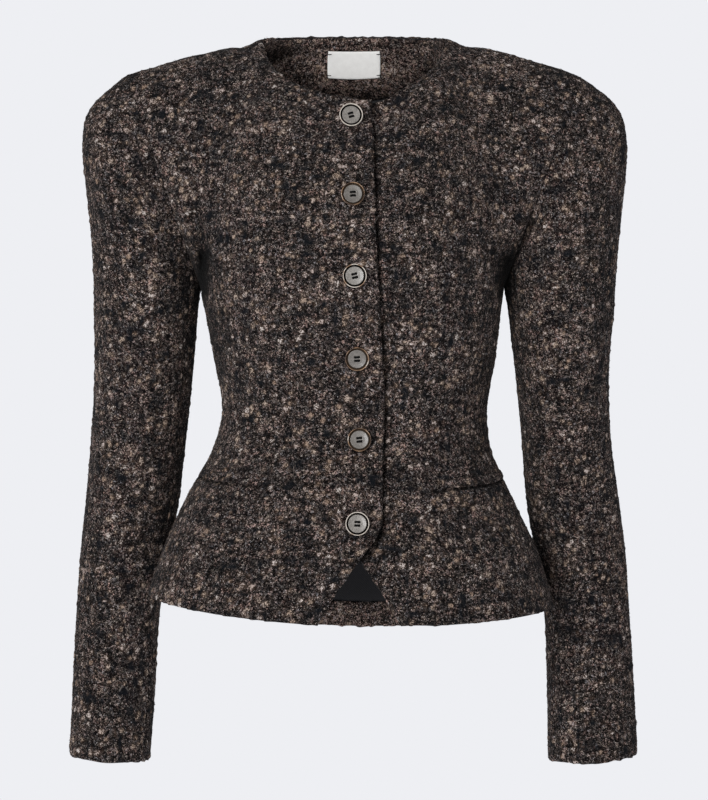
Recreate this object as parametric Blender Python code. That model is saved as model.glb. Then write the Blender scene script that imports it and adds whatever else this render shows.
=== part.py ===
"""A collarless boucle jacket, filled out as if worn, made of its cut pieces with real cloth walls.

Metres, +Z up. The front faces -Y, and the wearer's right is at -X. The origin is midway between
the two neck points, where the wearer's shoulders carry the jacket.
"""

import math
from collections import namedtuple

import bmesh
import bpy
import numpy as np
from mathutils import Vector

# Cloth
WALL = 0.0028
LINING_WALL = 0.0012
LABEL_WALL = 0.0010
SEAM_GAP = 0.0004
LAYER_GAP = 0.0008

# Body: a row for each level section, from the hem up to the underarm
Section = namedtuple("Section", "height half_width front back side swing front_drop back_drop")
BODY = (
    Section(-0.518, 0.1900, -0.145, 0.140, -0.015, -0.0033, 0.0165, 0.035),
    Section(-0.470, 0.1740, -0.134, 0.122, -0.012, -0.0030, 0.009, 0.024),
    Section(-0.416, 0.1485, -0.119, 0.104, -0.006, -0.0038, 0.005, 0.011),
    Section(-0.379, 0.1307, -0.107, 0.092, -0.002, -0.0024, 0.002, 0.004),
    Section(-0.346, 0.1243, -0.102, 0.087, 0.000, 0.0000, 0.000, 0.000),
    Section(-0.290, 0.1325, -0.118, 0.094, 0.002, 0.0000, 0.000, 0.000),
    Section(-0.248, 0.1390, -0.130, 0.102, 0.004, -0.0015, 0.000, 0.000),
    Section(-0.224, 0.1430, -0.131, 0.105, 0.005, -0.0020, 0.000, 0.000),
)
FRONT_ROUNDNESS = 2.3
BACK_ROUNDNESS = 2.05
HEM_TILT = -0.028

# Neck and shoulders
NECK_HALF_WIDTH = 0.0855
NECK_POINT_HEIGHT = 0.0085
NECK_SHARE = 0.48
NECK_SWING = -0.002
CORNER_SOFTNESS = 0.5
SHOULDER_TIP = np.array((0.214, 0.0, -0.026))

# How each face runs from the underarm section up to its neck and shoulder edge
Yoke = namedtuple("Yoke", "neck_y neck_height neck_dip neck_end shoulder_end armhole_start armhole_end")
FRONT = Yoke(-0.072, -0.052, 0.0055, (0.05, 0.12), (0.14, 0.01), -0.20, 0.20)
BACK = Yoke(0.062, 0.0175, 0.0, (-0.09, 0.13), (-0.14, 0.01), 0.19, -0.21)
NECK_DIP_ACROSS = 0.0175
NECK_DIP_WIDTH = 0.020
RISE = 0.20
ARMHOLE_BLEND = 0.55

# Front edges: how far each front reaches past the middle, by height at the middle
Edge = namedtuple("Edge", "height lapping under")
FRONT_EDGES = (
    Edge(-0.540, -0.0335, -0.0485),
    Edge(-0.500, -0.0095, -0.0245),
    Edge(-0.476, 0.0075, -0.0085),
    Edge(-0.459, 0.0205, 0.0055),
    Edge(-0.445, 0.0280, 0.0135),
    Edge(-0.430, 0.0291, 0.0155),
    Edge(-0.400, 0.0285, 0.0155),
    Edge(-0.250, 0.0240, 0.0155),
    Edge(-0.050, 0.0175, 0.0155),
)
LAP_GAP = 0.0015
LAP_FLAT = 0.03
LAP_EASE = 0.16

# Sleeves: a row for each section, from the upper arm down to the cuff
Ring = namedtuple("Ring", "height out_right out_left half_right half_left half_depth back")
ARM = (
    Ring(-0.248, 0.1969, 0.1950, 0.0491, 0.0500, 0.0580, 0.014),
    Ring(-0.285, 0.1983, 0.1958, 0.0473, 0.0459, 0.0560, 0.020),
    Ring(-0.360, 0.2044, 0.2005, 0.0452, 0.0423, 0.0520, 0.034),
    Ring(-0.437, 0.2133, 0.2095, 0.0439, 0.0439, 0.0475, 0.046),
    Ring(-0.475, 0.2189, 0.2156, 0.0425, 0.0428, 0.0450, 0.050),
    Ring(-0.532, 0.2257, 0.2218, 0.0397, 0.0406, 0.0420, 0.052),
    Ring(-0.608, 0.2297, 0.2253, 0.0392, 0.0415, 0.0410, 0.048),
    Ring(-0.672, 0.2333, 0.2270, 0.0384, 0.0426, 0.0405, 0.042),
)
CUFF_TILT = 0.06
HEAD_DROP = -0.12
HEAD_PUFF = 0.035
HEAD_LENGTH = 0.43
UNDERARM_LENGTH = 0.03
Side = namedtuple("Side", "name sign head_out head_flare")
RIGHT = Side("right", -1, 0.213, 0.040)
LEFT = Side("left", 1, 0.200, 0.070)

# Grid sizes
BODY_ROWS = 18
YOKE_ROWS = 12
FRONT_COLUMNS = 12
BACK_COLUMNS = 20
HEAD_ROWS = 8
ARM_ROWS = 11
RING_COLUMNS = 2 * YOKE_ROWS
FRONT_SEAM = 2
BACK_SEAM = 20

# Inside of the back
FACING_SPAN = 0.50
LINING_SPAN = 0.65
NECK_FACING_ROWS = 3
HEM_FACING_ROWS = 1
LABEL_GAP = 0.0016
LABEL_ACROSS = 0.0016
LABEL_HALF_WIDTH = 0.0266
LABEL_TOP = 0.006
LABEL_HEIGHT = 0.0265
LABEL_COLUMNS = 4

# Hip pockets: height of each mouth's outer end, and how much it falls towards the middle
Pocket = namedtuple("Pocket", "height slope")
POCKETS = {"right": Pocket(-0.4078, 0.020), "left": Pocket(-0.4068, 0.032)}
POCKET_INNER = 0.38
POCKET_OUTER = 0.97
WELT_HEIGHT = 0.008
WELT_WALL = 0.0016
WELT_COLUMNS = 7
WELT_FADE = (-0.1, 0.2)

# Buttons: each one's height and how far it lies across from the middle, from the top down
Button = namedtuple("Button", "height across")
BUTTONS = (
    Button(-0.0737, -0.0015),
    Button(-0.1470, 0.0010),
    Button(-0.2202, 0.0022),
    Button(-0.2938, 0.0022),
    Button(-0.3683, 0.0059),
    Button(-0.4439, 0.0062),
)
BUTTON_RADIUS = 0.0108
BUTTON_THICK = 0.0040
BUTTON_UPRIGHT = 0.4
BUTTON_GAP = 0.0005
BUTTON_SEGMENTS = 16

# Small steps for slopes read off the form, and the edges that shade as sharp
STEP = 0.01
NEAR_MIDDLE = 0.1
SHARP_ANGLE = math.radians(40)

BOUCLE = ("boucle", (0.035, 0.030, 0.028), 0.95)
LINING = ("lining", (0.006, 0.006, 0.008), 0.45)
LABEL = ("label", (0.62, 0.61, 0.59), 0.80)
HORN = ("horn", (0.16, 0.15, 0.14), 0.35)


def hermite(start, start_slope, end, end_slope, t):
    """Cubic from start to end with the given slopes, t from 0 to 1."""
    return (
        (2 * t**3 - 3 * t**2 + 1) * start
        + (t**3 - 2 * t**2 + t) * start_slope
        + (3 * t**2 - 2 * t**3) * end
        + (t**3 - t**2) * end_slope
    )


def eased(low, high, value):
    """0 below low, 1 above high, with a smooth rise between."""
    t = np.clip((value - low) / (high - low), 0, 1)
    return t * t * (3 - 2 * t)


def read(table, column, height):
    """A smooth curve through one column of a table, read at the given heights."""
    rows = sorted(table, key=lambda row: row.height)
    heights = np.array([row.height for row in rows])
    values = np.array([getattr(row, column) for row in rows])
    slopes = np.gradient(values, heights)
    i = np.clip(np.searchsorted(heights, height) - 1, 0, len(rows) - 2)
    step = heights[i + 1] - heights[i]
    t = (height - heights[i]) / step
    return hermite(values[i], slopes[i] * step, values[i + 1], slopes[i + 1] * step, t)


def body(face, around, level):
    """Points of the body below the underarm: level 0 at the hem and 1 at the underarm.

    around is 0 in the middle, 1 at the wearer's left side seam and -1 at the right one.
    """
    height = BODY[0].height + level * (BODY[-1].height - BODY[0].height)
    column, drop, power = ("front", "front_drop", FRONT_ROUNDNESS)
    if face is BACK:
        column, drop, power = ("back", "back_drop", BACK_ROUNDNESS)
    sine = np.sin(around * math.pi / 2)
    cosine = np.cos(around * math.pi / 2)
    reach = (np.abs(sine) ** power + np.abs(cosine) ** power) ** (-1 / power)
    side = read(BODY, "side", height)
    x = read(BODY, "swing", height) + read(BODY, "half_width", height) * sine * reach
    y = side + (read(BODY, column, height) - side) * cosine * reach
    z = height - read(BODY, drop, height) * cosine**2 + HEM_TILT * x * (1 - level) ** 2
    return np.stack((x, y, z), axis=-1)


def soft_ramp(value, softness):
    """Follows the value when it is positive and stays near 0 when it isn't, with a soft bend at 0."""
    return 0.5 * (value + np.sqrt(value**2 + softness**2))


def top_edge(face, around, softness):
    """The neckline from the middle out to the neck point, then the shoulder seam out to its tip.

    The neckline dips where the fronts lap. The softness rounds the corner at the neck point, for the
    cloth below the edge.
    """
    share = np.abs(around)
    to_neck = 1 - soft_ramp(1 - share / NECK_SHARE, softness)
    turn = (to_neck - 1 + soft_ramp(1, softness)) * math.pi / 2
    start = -NECK_SHARE / (1 - NECK_SHARE)
    along = soft_ramp(start + share / (1 - NECK_SHARE), softness) - soft_ramp(start, softness)
    x = NECK_HALF_WIDTH * np.sin(turn) + (SHOULDER_TIP[0] - NECK_HALF_WIDTH) * along
    x = np.sign(around) * x + NECK_SWING * np.cos(turn)
    y = face.neck_y * np.cos(turn) + SHOULDER_TIP[1] * along
    z = NECK_POINT_HEIGHT + (face.neck_height - NECK_POINT_HEIGHT) * np.cos(turn)
    dip = np.exp(-(((x - NECK_DIP_ACROSS) / NECK_DIP_WIDTH) ** 2))
    z = z + (SHOULDER_TIP[2] - NECK_POINT_HEIGHT) * along - face.neck_dip * dip
    return np.stack((x, y, z), axis=-1)


def yoke(face, around, t):
    """Points above the underarm section: t 0 there and 1 at the neck and shoulder edge."""
    share = np.abs(around)
    at_armhole = eased(ARMHOLE_BLEND, 1.0, share)
    at_shoulder = eased(0.0, NECK_SHARE, share)
    lower = body(face, around, np.ones_like(around))
    below = body(face, around, np.ones_like(around) - STEP)
    start = (lower - below) / STEP / (BODY[-1].height - BODY[0].height) * RISE
    armhole_start = np.stack((0 * share, 0 * share + face.armhole_start, 0 * share), axis=-1)
    start = start + (armhole_start - start) * at_armhole[..., None]
    end_y = face.neck_end[0] + (face.shoulder_end[0] - face.neck_end[0]) * at_shoulder
    end_z = face.neck_end[1] + (face.shoulder_end[1] - face.neck_end[1]) * at_shoulder
    end_y = end_y + (face.armhole_end - end_y) * at_armhole
    end_z = end_z * (1 - at_armhole)
    end = np.stack((0 * share, end_y, end_z), axis=-1)
    edge = top_edge(face, around, CORNER_SOFTNESS * (1 - t))
    return hermite(lower, start, edge, end, t[..., None])


def torso(face, around, level):
    """Outer face of the jacket's body: level 0 hem, 1 underarm, 2 neck and shoulder."""
    around, level = np.broadcast_arrays(np.asarray(around, float), np.asarray(level, float))
    below = body(face, around, np.clip(level, 0, 1))
    above = yoke(face, around, np.clip(level - 1, 0, 1))
    return np.where((level <= 1)[..., None], below, above)


def body_levels():
    lower = np.linspace(0, 1, BODY_ROWS + 1)
    upper = np.linspace(1, 2, YOKE_ROWS + 1)
    return np.concatenate((lower, upper[1:]))


def level_at(face, height):
    """The level whose middle lies at this height."""
    levels = np.linspace(0, 2, 400)
    return np.interp(height, torso(face, 0 * levels, levels)[:, 2], levels)


def share_at(face, level, across):
    """The around value of a point this far across from the middle of its section, near the middle."""
    middle = torso(face, 0.0, level)[..., 0]
    return across * NEAR_MIDDLE / (torso(face, NEAR_MIDDLE, level)[..., 0] - middle)


def normals_of(grid, inside):
    """Unit normals of a grid of points, pointing away from inside."""
    along_rows = np.gradient(grid, axis=0, edge_order=2)
    along_columns = np.gradient(grid, axis=1, edge_order=2)
    normals = np.cross(along_columns, along_rows)
    normals /= np.linalg.norm(normals, axis=-1, keepdims=True)
    return normals * np.sign((normals * (grid - inside)).sum())


def pulled(grid, row, column, to_row, to_column, distance):
    """Moves one line of the grid towards its neighbour line by this distance."""
    step = grid[to_row, to_column] - grid[row, column]
    grid[row, column] += step / np.linalg.norm(step, axis=-1, keepdims=True) * distance


def material(kind, name):
    label, colour, roughness = kind
    made = bpy.data.materials.new(f"{label}_{name}")
    made.use_nodes = True
    shader = made.node_tree.nodes["Principled BSDF"]
    shader.inputs["Base Color"].default_value = (*colour, 1)
    shader.inputs["Roughness"].default_value = roughness
    shader.inputs["Metallic"].default_value = 0.0
    return made


def add_object(name, vertices, faces, kind, parent):
    """A closed mesh object whose faces point out."""
    mesh = bpy.data.meshes.new(name)
    mesh.from_pydata([tuple(map(float, vertex)) for vertex in vertices], [], faces)
    shape = bmesh.new()
    shape.from_mesh(mesh)
    bmesh.ops.recalc_face_normals(shape, faces=shape.faces)
    shape.to_mesh(mesh)
    shape.free()
    mesh.shade_smooth()
    mesh.set_sharp_from_angle(angle=SHARP_ANGLE)
    mesh.materials.append(material(kind, name))
    made = bpy.data.objects.new(name, mesh)
    made.parent = parent
    bpy.context.scene.collection.objects.link(made)
    return made


def add_wall(name, outer, inner, kind, parent):
    """A sheet between two grids of points, closed along its four rims."""
    rows, columns = outer.shape[:2]
    index = np.arange(rows * columns).reshape(rows, columns)
    back = index + rows * columns
    faces = []
    for i in range(rows - 1):
        for j in range(columns - 1):
            faces.append((index[i, j], index[i, j + 1], index[i + 1, j + 1], index[i + 1, j]))
            faces.append((back[i, j], back[i + 1, j], back[i + 1, j + 1], back[i, j + 1]))
    for line in (index[0], index[-1], index[:, 0], index[:, -1]):
        for first, second in zip(line[:-1], line[1:]):
            faces.append((first, second, second + rows * columns, first + rows * columns))
    faces = [tuple(int(corner) for corner in face) for face in faces]
    vertices = np.concatenate((outer.reshape(-1, 3), inner.reshape(-1, 3)))
    return add_object(name, vertices, faces, kind, parent)


def torso_inside(grid):
    """Points on the body's middle line, level with the grid's points."""
    return grid * (0, 0, 1)


def front_shares(side, levels):
    """The around value of each point of a front, from its front edge to its side seam."""
    middle = torso(FRONT, 0 * levels, levels)[:, 2]
    column = "lapping" if side is RIGHT else "under"
    edge = -side.sign * share_at(FRONT, levels, read(FRONT_EDGES, column, middle))
    across = np.linspace(0, 1, FRONT_COLUMNS + 1)
    return edge[:, None] + (side.sign - edge[:, None]) * across


def tuck(levels, shares):
    """How deep the under front lies beneath the lapping one: full under it, nothing further out."""
    middle = torso(FRONT, 0 * levels, levels)[:, 2]
    cover = share_at(FRONT, levels, read(FRONT_EDGES, "lapping", middle))[:, None]
    return (WALL + LAP_GAP) * (1 - eased(cover + LAP_FLAT, cover + LAP_EASE, shares))


def square_to_seam(normals, row, column):
    """Both sides of a side or shoulder seam meet on one plane, so the wall there has no slant along Y."""
    normals[row, column, 1] = 0
    normals[row, column] /= np.linalg.norm(normals[row, column], axis=-1, keepdims=True)


def open_seams(grid, normals, levels, shares):
    """Keeps the side seam and the shoulder seam half a gap short of the neighbouring piece."""
    below = levels <= 1
    for end, inner in ((0, 1), (-1, -2)):
        if np.allclose(np.abs(shares[:, end]), 1):
            pulled(grid, below, end, below, inner, SEAM_GAP / 2)
            square_to_seam(normals, below, end)
    shoulder = np.abs(shares[-1]) > NECK_SHARE
    pulled(grid, -1, shoulder, -2, shoulder, SEAM_GAP / 2)
    square_to_seam(normals, -1, shoulder)


def front_surface(side):
    """Levels, around values, outer points and normals of one front."""
    levels = body_levels()
    shares = front_shares(side, levels)
    grid = torso(FRONT, shares, levels[:, None])
    normals = normals_of(grid, torso_inside(grid))
    if side is LEFT:
        grid = grid - normals * tuck(levels, shares)[..., None]
    return levels, shares, grid, normals


def add_front(side, parent):
    levels, shares, grid, normals = front_surface(side)
    open_seams(grid, normals, levels, shares)
    add_wall(f"front_{side.name}", grid, grid - normals * WALL, BOUCLE, parent)


def back_surface():
    """Levels, around values, outer points and normals of the whole back."""
    levels = body_levels()
    shares = np.tile(np.linspace(-1, 1, BACK_COLUMNS + 1), (len(levels), 1))
    grid = torso(BACK, shares, levels[:, None])
    return levels, shares, grid, normals_of(grid, torso_inside(grid))


def add_back(parent):
    levels, shares, grid, normals = back_surface()
    open_seams(grid, normals, levels, shares)
    add_wall("back", grid, grid - normals * WALL, BOUCLE, parent)


def add_inside_layer(name, rows, span, wall, kind, parent):
    """A layer inside the back, from the back's own points between two rows and two columns."""
    _, shares, grid, normals = back_surface()
    columns = np.abs(shares[0]) < span
    grid = (grid - normals * (WALL + LAYER_GAP))[rows, columns]
    normals = normals[rows, columns]
    everything = slice(None)
    pulled(grid, 0, everything, 1, everything, SEAM_GAP)
    pulled(grid, -1, everything, -2, everything, SEAM_GAP)
    add_wall(name, grid, grid - normals * wall, kind, parent)


def add_inside_of_back(parent):
    """Neck facing, hem facing and the lining between them."""
    neck_row = BODY_ROWS + YOKE_ROWS - NECK_FACING_ROWS
    hem = slice(0, HEM_FACING_ROWS + 1)
    between = slice(HEM_FACING_ROWS, neck_row + 1)
    neck = slice(neck_row, None)
    add_inside_layer("back_hem_facing", hem, LINING_SPAN, WALL, BOUCLE, parent)
    add_inside_layer("back_lining", between, LINING_SPAN, LINING_WALL, LINING, parent)
    add_inside_layer("back_neck_facing", neck, FACING_SPAN, WALL, BOUCLE, parent)


def add_label(parent):
    """A blank label flat against the neck facing."""
    levels = level_at(BACK, LABEL_TOP - LABEL_HEIGHT * np.array((1.0, 0.5, 0.0)))
    across = LABEL_ACROSS + LABEL_HALF_WIDTH * np.linspace(-1, 1, LABEL_COLUMNS + 1)
    shares = share_at(BACK, levels[:, None], across)
    grid = torso(BACK, shares, levels[:, None])
    normals = normals_of(grid, torso_inside(grid))
    grid = grid - normals * (2 * WALL + LAYER_GAP + LABEL_GAP)
    add_wall("label", grid, grid - normals * LABEL_WALL, LABEL, parent)


def add_pocket_welt(side, parent):
    """A narrow lip along the pocket mouth, thinning to nothing at its inner end."""
    pocket = POCKETS[side.name]
    low = level_at(FRONT, pocket.height)
    steps = np.array((0, 0.5, 1)) * (level_at(FRONT, pocket.height + WELT_HEIGHT) - low)
    shares = np.tile(np.linspace(POCKET_INNER, POCKET_OUTER, WELT_COLUMNS + 1), (len(steps), 1))
    levels = low + pocket.slope * (shares - POCKET_OUTER) + steps[:, None]
    grid = torso(FRONT, side.sign * shares, levels)
    normals = normals_of(grid, torso_inside(grid))
    first, last = WELT_FADE
    full = eased(POCKET_INNER + first, POCKET_INNER + last, shares)[..., None]
    outer = grid + normals * (LAYER_GAP + WELT_WALL * full)
    add_wall(f"pocket_welt_{side.name}", outer, grid + normals * LAYER_GAP, BOUCLE, parent)


def armhole(side, turn):
    """The armhole seam: turn 0 at the underarm, 0.25 in front, 0.5 at the shoulder, 0.75 behind."""
    turn = turn % 1
    around = np.full_like(turn, side.sign)
    front = torso(FRONT, around, 1 + np.clip(2 * turn, 0, 1))
    back = torso(BACK, around, 1 + np.clip(2 - 2 * turn, 0, 1))
    return np.where((turn <= 0.5)[..., None], front, back)


def armhole_normals(side):
    """The body's normals along its armhole, a row for each column of the sleeve's ring."""
    front = front_surface(side)[3][BODY_ROWS:, -1]
    back = back_surface()[3][BODY_ROWS:, -1 if side is LEFT else 0]
    return np.concatenate((front, back[-2:0:-1]))


def arm(side, turn, level):
    """Points of the sleeve below the underarm: level 0 at the upper arm and 1 at the cuff."""
    height = ARM[0].height + level * (ARM[-1].height - ARM[0].height)
    out = -read(ARM, f"half_{side.name}", height) * np.cos(2 * math.pi * turn)
    x = read(ARM, f"out_{side.name}", height) + out
    y = read(ARM, "back", height) - read(ARM, "half_depth", height) * np.sin(2 * math.pi * turn)
    z = height + CUFF_TILT * out * level
    return np.stack((side.sign * x, y, z), axis=-1)


def sleeve(side, turn, level):
    """Outer face of a sleeve: level 0 at the armhole, 1 at the upper arm, 2 at the cuff."""
    turn, level = np.broadcast_arrays(np.asarray(turn, float), np.asarray(level, float))
    top = 0.5 - 0.5 * np.cos(2 * math.pi * turn)
    drop = -UNDERARM_LENGTH + (HEAD_DROP + UNDERARM_LENGTH) * top
    puff = -HEAD_PUFF * np.sin(2 * math.pi * turn)
    leaving = np.stack((side.sign * side.head_out * top, puff, drop), axis=-1)
    upper = arm(side, turn, 0 * level)
    fall = (arm(side, turn, 0 * level + STEP) - upper) / STEP / (ARM[0].height - ARM[-1].height)
    fall[..., 0] += side.sign * side.head_flare * top
    length = UNDERARM_LENGTH + (HEAD_LENGTH - UNDERARM_LENGTH) * top
    t = np.clip(level, 0, 1)[..., None]
    head = hermite(armhole(side, turn), leaving, upper, fall * length[..., None], t)
    below = arm(side, turn, np.clip(level - 1, 0, 1))
    return np.where((level <= 1)[..., None], head, below)


def add_sleeve_piece(name, side, first, last, parent):
    """One cut piece of a sleeve, between two of the ring's columns."""
    levels = np.concatenate((np.linspace(0, 1, HEAD_ROWS + 1), np.linspace(1, 2, ARM_ROWS + 1)[1:]))
    columns = np.arange(first - 1, last + 2)
    grid = sleeve(side, columns[None, :] / RING_COLUMNS, levels[:, None])
    whole = np.arange(RING_COLUMNS)
    axis = sleeve(side, whole[None, :] / RING_COLUMNS, levels[:, None]).mean(axis=1)
    normals = normals_of(grid, axis[:, None, :])
    normals[0] += armhole_normals(side)[columns % RING_COLUMNS]
    normals[0] /= np.linalg.norm(normals[0], axis=-1, keepdims=True)
    grid = grid[:, 1:-1].copy()
    normals = normals[:, 1:-1]
    everything = slice(None)
    pulled(grid, 0, everything, 1, everything, SEAM_GAP)
    pulled(grid, everything, 0, everything, 1, SEAM_GAP / 2)
    pulled(grid, everything, -1, everything, -2, SEAM_GAP / 2)
    add_wall(name, grid, grid - normals * WALL, BOUCLE, parent)


def add_sleeve(side, parent):
    add_sleeve_piece(f"sleeve_top_{side.name}", side, FRONT_SEAM, BACK_SEAM, parent)
    add_sleeve_piece(f"sleeve_under_{side.name}", side, BACK_SEAM - RING_COLUMNS, FRONT_SEAM, parent)


def button_profile():
    """Radius and height of the turned outline: a dished face, a groove, a raised rim and a flat back."""
    radius, thick = BUTTON_RADIUS, BUTTON_THICK
    return (
        (0.75 * radius, 0.75 * thick),
        (0.78 * radius, 0.45 * thick),
        (0.90 * radius, 0.45 * thick),
        (0.94 * radius, 1.00 * thick),
        (1.00 * radius, 0.70 * thick),
        (0.94 * radius, 0.25 * thick),
        (0.70 * radius, 0.00 * thick),
    )


def turned(profile):
    """Vertices and faces of a profile turned about +Z and closed on the axis at both ends."""
    rings = len(profile)
    angles = [2 * math.pi * i / BUTTON_SEGMENTS for i in range(BUTTON_SEGMENTS)]
    vertices = [(r * math.cos(a), r * math.sin(a), z) for r, z in profile for a in angles]
    top, bottom = len(vertices), len(vertices) + 1
    vertices += [(0, 0, profile[0][1]), (0, 0, profile[-1][1])]
    faces = []
    for i in range(BUTTON_SEGMENTS):
        j = (i + 1) % BUTTON_SEGMENTS
        last = (rings - 1) * BUTTON_SEGMENTS
        faces.append((top, i, j))
        faces.append((bottom, last + j, last + i))
        for ring in range(rings - 1):
            upper = ring * BUTTON_SEGMENTS
            lower = upper + BUTTON_SEGMENTS
            faces.append((upper + i, lower + i, lower + j, upper + j))
    return vertices, faces


def add_buttons(parent):
    """Buttons down the lapping front, each hanging nearly upright at its place, just clear of the cloth."""
    vertices, faces = turned(button_profile())
    around = STEP * np.array((-1, 0, 1))
    for number, button in enumerate(BUTTONS, 1):
        level = level_at(FRONT, button.height)
        share = share_at(FRONT, level, button.across)
        patch = torso(FRONT, share + around, level + around[:, None])
        normal = Vector(normals_of(patch, torso_inside(patch))[1, 1])
        facing = Vector((normal.x, normal.y, normal.z * BUTTON_UPRIGHT)).normalized()
        lift = BUTTON_GAP + BUTTON_RADIUS * normal.cross(facing).length
        made = add_object(f"button_{number}", vertices, faces, HORN, parent)
        made.location = Vector(patch[1, 1]) + normal * lift
        made.rotation_mode = "QUATERNION"
        made.rotation_quaternion = facing.to_track_quat("Z", "Y")


def main():
    for old in list(bpy.data.objects):
        bpy.data.objects.remove(old, do_unlink=True)
    jacket = bpy.data.objects.new("jacket", None)
    bpy.context.scene.collection.objects.link(jacket)
    for side in (RIGHT, LEFT):
        add_front(side, jacket)
        add_sleeve(side, jacket)
        add_pocket_welt(side, jacket)
    add_back(jacket)
    add_inside_of_back(jacket)
    add_label(jacket)
    add_buttons(jacket)


main()
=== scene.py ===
"""Looks of the boucle jacket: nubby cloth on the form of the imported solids, with its buttons and label.

Metres, +Z up. The front faces -Y, and the wearer's right is at -X. The form repeats the part's own sizes,
but the facings and the lining inside the back reach a little further than their solids.
"""

import itertools
import math
from collections import namedtuple

import bpy
import numpy as np
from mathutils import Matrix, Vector

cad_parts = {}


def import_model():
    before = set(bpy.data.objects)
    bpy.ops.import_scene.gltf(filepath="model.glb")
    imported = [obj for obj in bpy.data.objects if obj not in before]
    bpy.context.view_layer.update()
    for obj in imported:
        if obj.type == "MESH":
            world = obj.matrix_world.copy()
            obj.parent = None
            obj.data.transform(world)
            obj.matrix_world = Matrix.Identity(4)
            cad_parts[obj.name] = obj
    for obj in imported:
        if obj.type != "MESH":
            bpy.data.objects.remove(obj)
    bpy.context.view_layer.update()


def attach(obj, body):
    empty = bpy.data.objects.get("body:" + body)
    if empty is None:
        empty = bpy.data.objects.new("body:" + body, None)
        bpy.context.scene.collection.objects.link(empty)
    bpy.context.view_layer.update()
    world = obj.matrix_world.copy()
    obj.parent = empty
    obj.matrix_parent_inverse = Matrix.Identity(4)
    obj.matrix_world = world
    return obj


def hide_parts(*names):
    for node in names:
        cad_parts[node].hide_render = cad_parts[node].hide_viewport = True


# Cloth
WALL = 0.0028
LINING_WALL = 0.0012
LABEL_WALL = 0.0010
SEAM_GAP = 0.0004
LAYER_GAP = 0.0008

# Body: a row for each level section, from the hem up to the underarm
Section = namedtuple("Section", "height half_width front back side swing front_drop back_drop")
BODY = (
    Section(-0.518, 0.1900, -0.145, 0.140, -0.015, -0.0033, 0.0165, 0.035),
    Section(-0.470, 0.1740, -0.134, 0.122, -0.012, -0.0030, 0.009, 0.024),
    Section(-0.416, 0.1485, -0.119, 0.104, -0.006, -0.0038, 0.005, 0.011),
    Section(-0.379, 0.1307, -0.107, 0.092, -0.002, -0.0024, 0.002, 0.004),
    Section(-0.346, 0.1243, -0.102, 0.087, 0.000, 0.0000, 0.000, 0.000),
    Section(-0.290, 0.1325, -0.118, 0.094, 0.002, 0.0000, 0.000, 0.000),
    Section(-0.248, 0.1390, -0.130, 0.102, 0.004, -0.0015, 0.000, 0.000),
    Section(-0.224, 0.1430, -0.131, 0.105, 0.005, -0.0020, 0.000, 0.000),
)
FRONT_ROUNDNESS = 2.3
BACK_ROUNDNESS = 2.05
HEM_TILT = -0.028

# Neck and shoulders
NECK_HALF_WIDTH = 0.0855
NECK_POINT_HEIGHT = 0.0085
NECK_SHARE = 0.48
NECK_SWING = -0.002
CORNER_SOFTNESS = 0.5
SHOULDER_TIP = np.array((0.214, 0.0, -0.026))

# How each face runs from the underarm section up to its neck and shoulder edge
Yoke = namedtuple("Yoke", "neck_y neck_height neck_dip neck_end shoulder_end armhole_start armhole_end")
FRONT = Yoke(-0.072, -0.052, 0.0055, (0.05, 0.12), (0.14, 0.01), -0.20, 0.20)
BACK = Yoke(0.062, 0.0175, 0.0, (-0.09, 0.13), (-0.14, 0.01), 0.19, -0.21)
NECK_DIP_ACROSS = 0.0175
NECK_DIP_WIDTH = 0.020
RISE = 0.20
ARMHOLE_BLEND = 0.55

# Front edges: how far each front reaches past the middle, by height at the middle
Edge = namedtuple("Edge", "height lapping under")
FRONT_EDGES = (
    Edge(-0.540, -0.0335, -0.0485),
    Edge(-0.500, -0.0095, -0.0245),
    Edge(-0.476, 0.0075, -0.0085),
    Edge(-0.459, 0.0205, 0.0055),
    Edge(-0.445, 0.0280, 0.0135),
    Edge(-0.430, 0.0291, 0.0155),
    Edge(-0.400, 0.0285, 0.0155),
    Edge(-0.250, 0.0240, 0.0155),
    Edge(-0.050, 0.0175, 0.0155),
)
LAP_GAP = 0.0015
LAP_FLAT = 0.03
LAP_EASE = 0.16

# Sleeves: a row for each section, from the upper arm down to the cuff
Ring = namedtuple("Ring", "height out_right out_left half_right half_left half_depth back")
ARM = (
    Ring(-0.248, 0.1969, 0.1950, 0.0491, 0.0500, 0.0580, 0.014),
    Ring(-0.285, 0.1983, 0.1958, 0.0473, 0.0459, 0.0560, 0.020),
    Ring(-0.360, 0.2044, 0.2005, 0.0452, 0.0423, 0.0520, 0.034),
    Ring(-0.437, 0.2133, 0.2095, 0.0439, 0.0439, 0.0475, 0.046),
    Ring(-0.475, 0.2189, 0.2156, 0.0425, 0.0428, 0.0450, 0.050),
    Ring(-0.532, 0.2257, 0.2218, 0.0397, 0.0406, 0.0420, 0.052),
    Ring(-0.608, 0.2297, 0.2253, 0.0392, 0.0415, 0.0410, 0.048),
    Ring(-0.672, 0.2333, 0.2270, 0.0384, 0.0426, 0.0405, 0.042),
)
CUFF_TILT = 0.06
HEAD_DROP = -0.12
HEAD_PUFF = 0.035
HEAD_LENGTH = 0.43
UNDERARM_LENGTH = 0.03
SHOULDER_TURN = 0.5
FRONT_SEAM_TURN = 2 / 24
BACK_SEAM_TURN = 20 / 24
Side = namedtuple("Side", "name sign head_out head_flare")
RIGHT = Side("right", -1, 0.213, 0.040)
LEFT = Side("left", 1, 0.200, 0.070)

# Inside of the back: how far round its layers reach, the levels of the lining's two seams, and the label
FACING_SPAN = 0.50
LINING_SPAN = 0.65
NECK_SEAM_LEVEL = 2 - 3 / 12 - 0.055
HEM_SEAM_LEVEL = 1 / 18 + 0.014
# Painted light: the facings' yarn is lighter in tone by this much, for light that reaches inside the jacket
FACING_PAINTED_LIGHT = 0.24
LABEL_GAP = 0.0016
LABEL_ACROSS = 0.0016
LABEL_HALF_WIDTH = 0.0266
LABEL_TOP = 0.006
LABEL_HEIGHT = 0.0265

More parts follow.
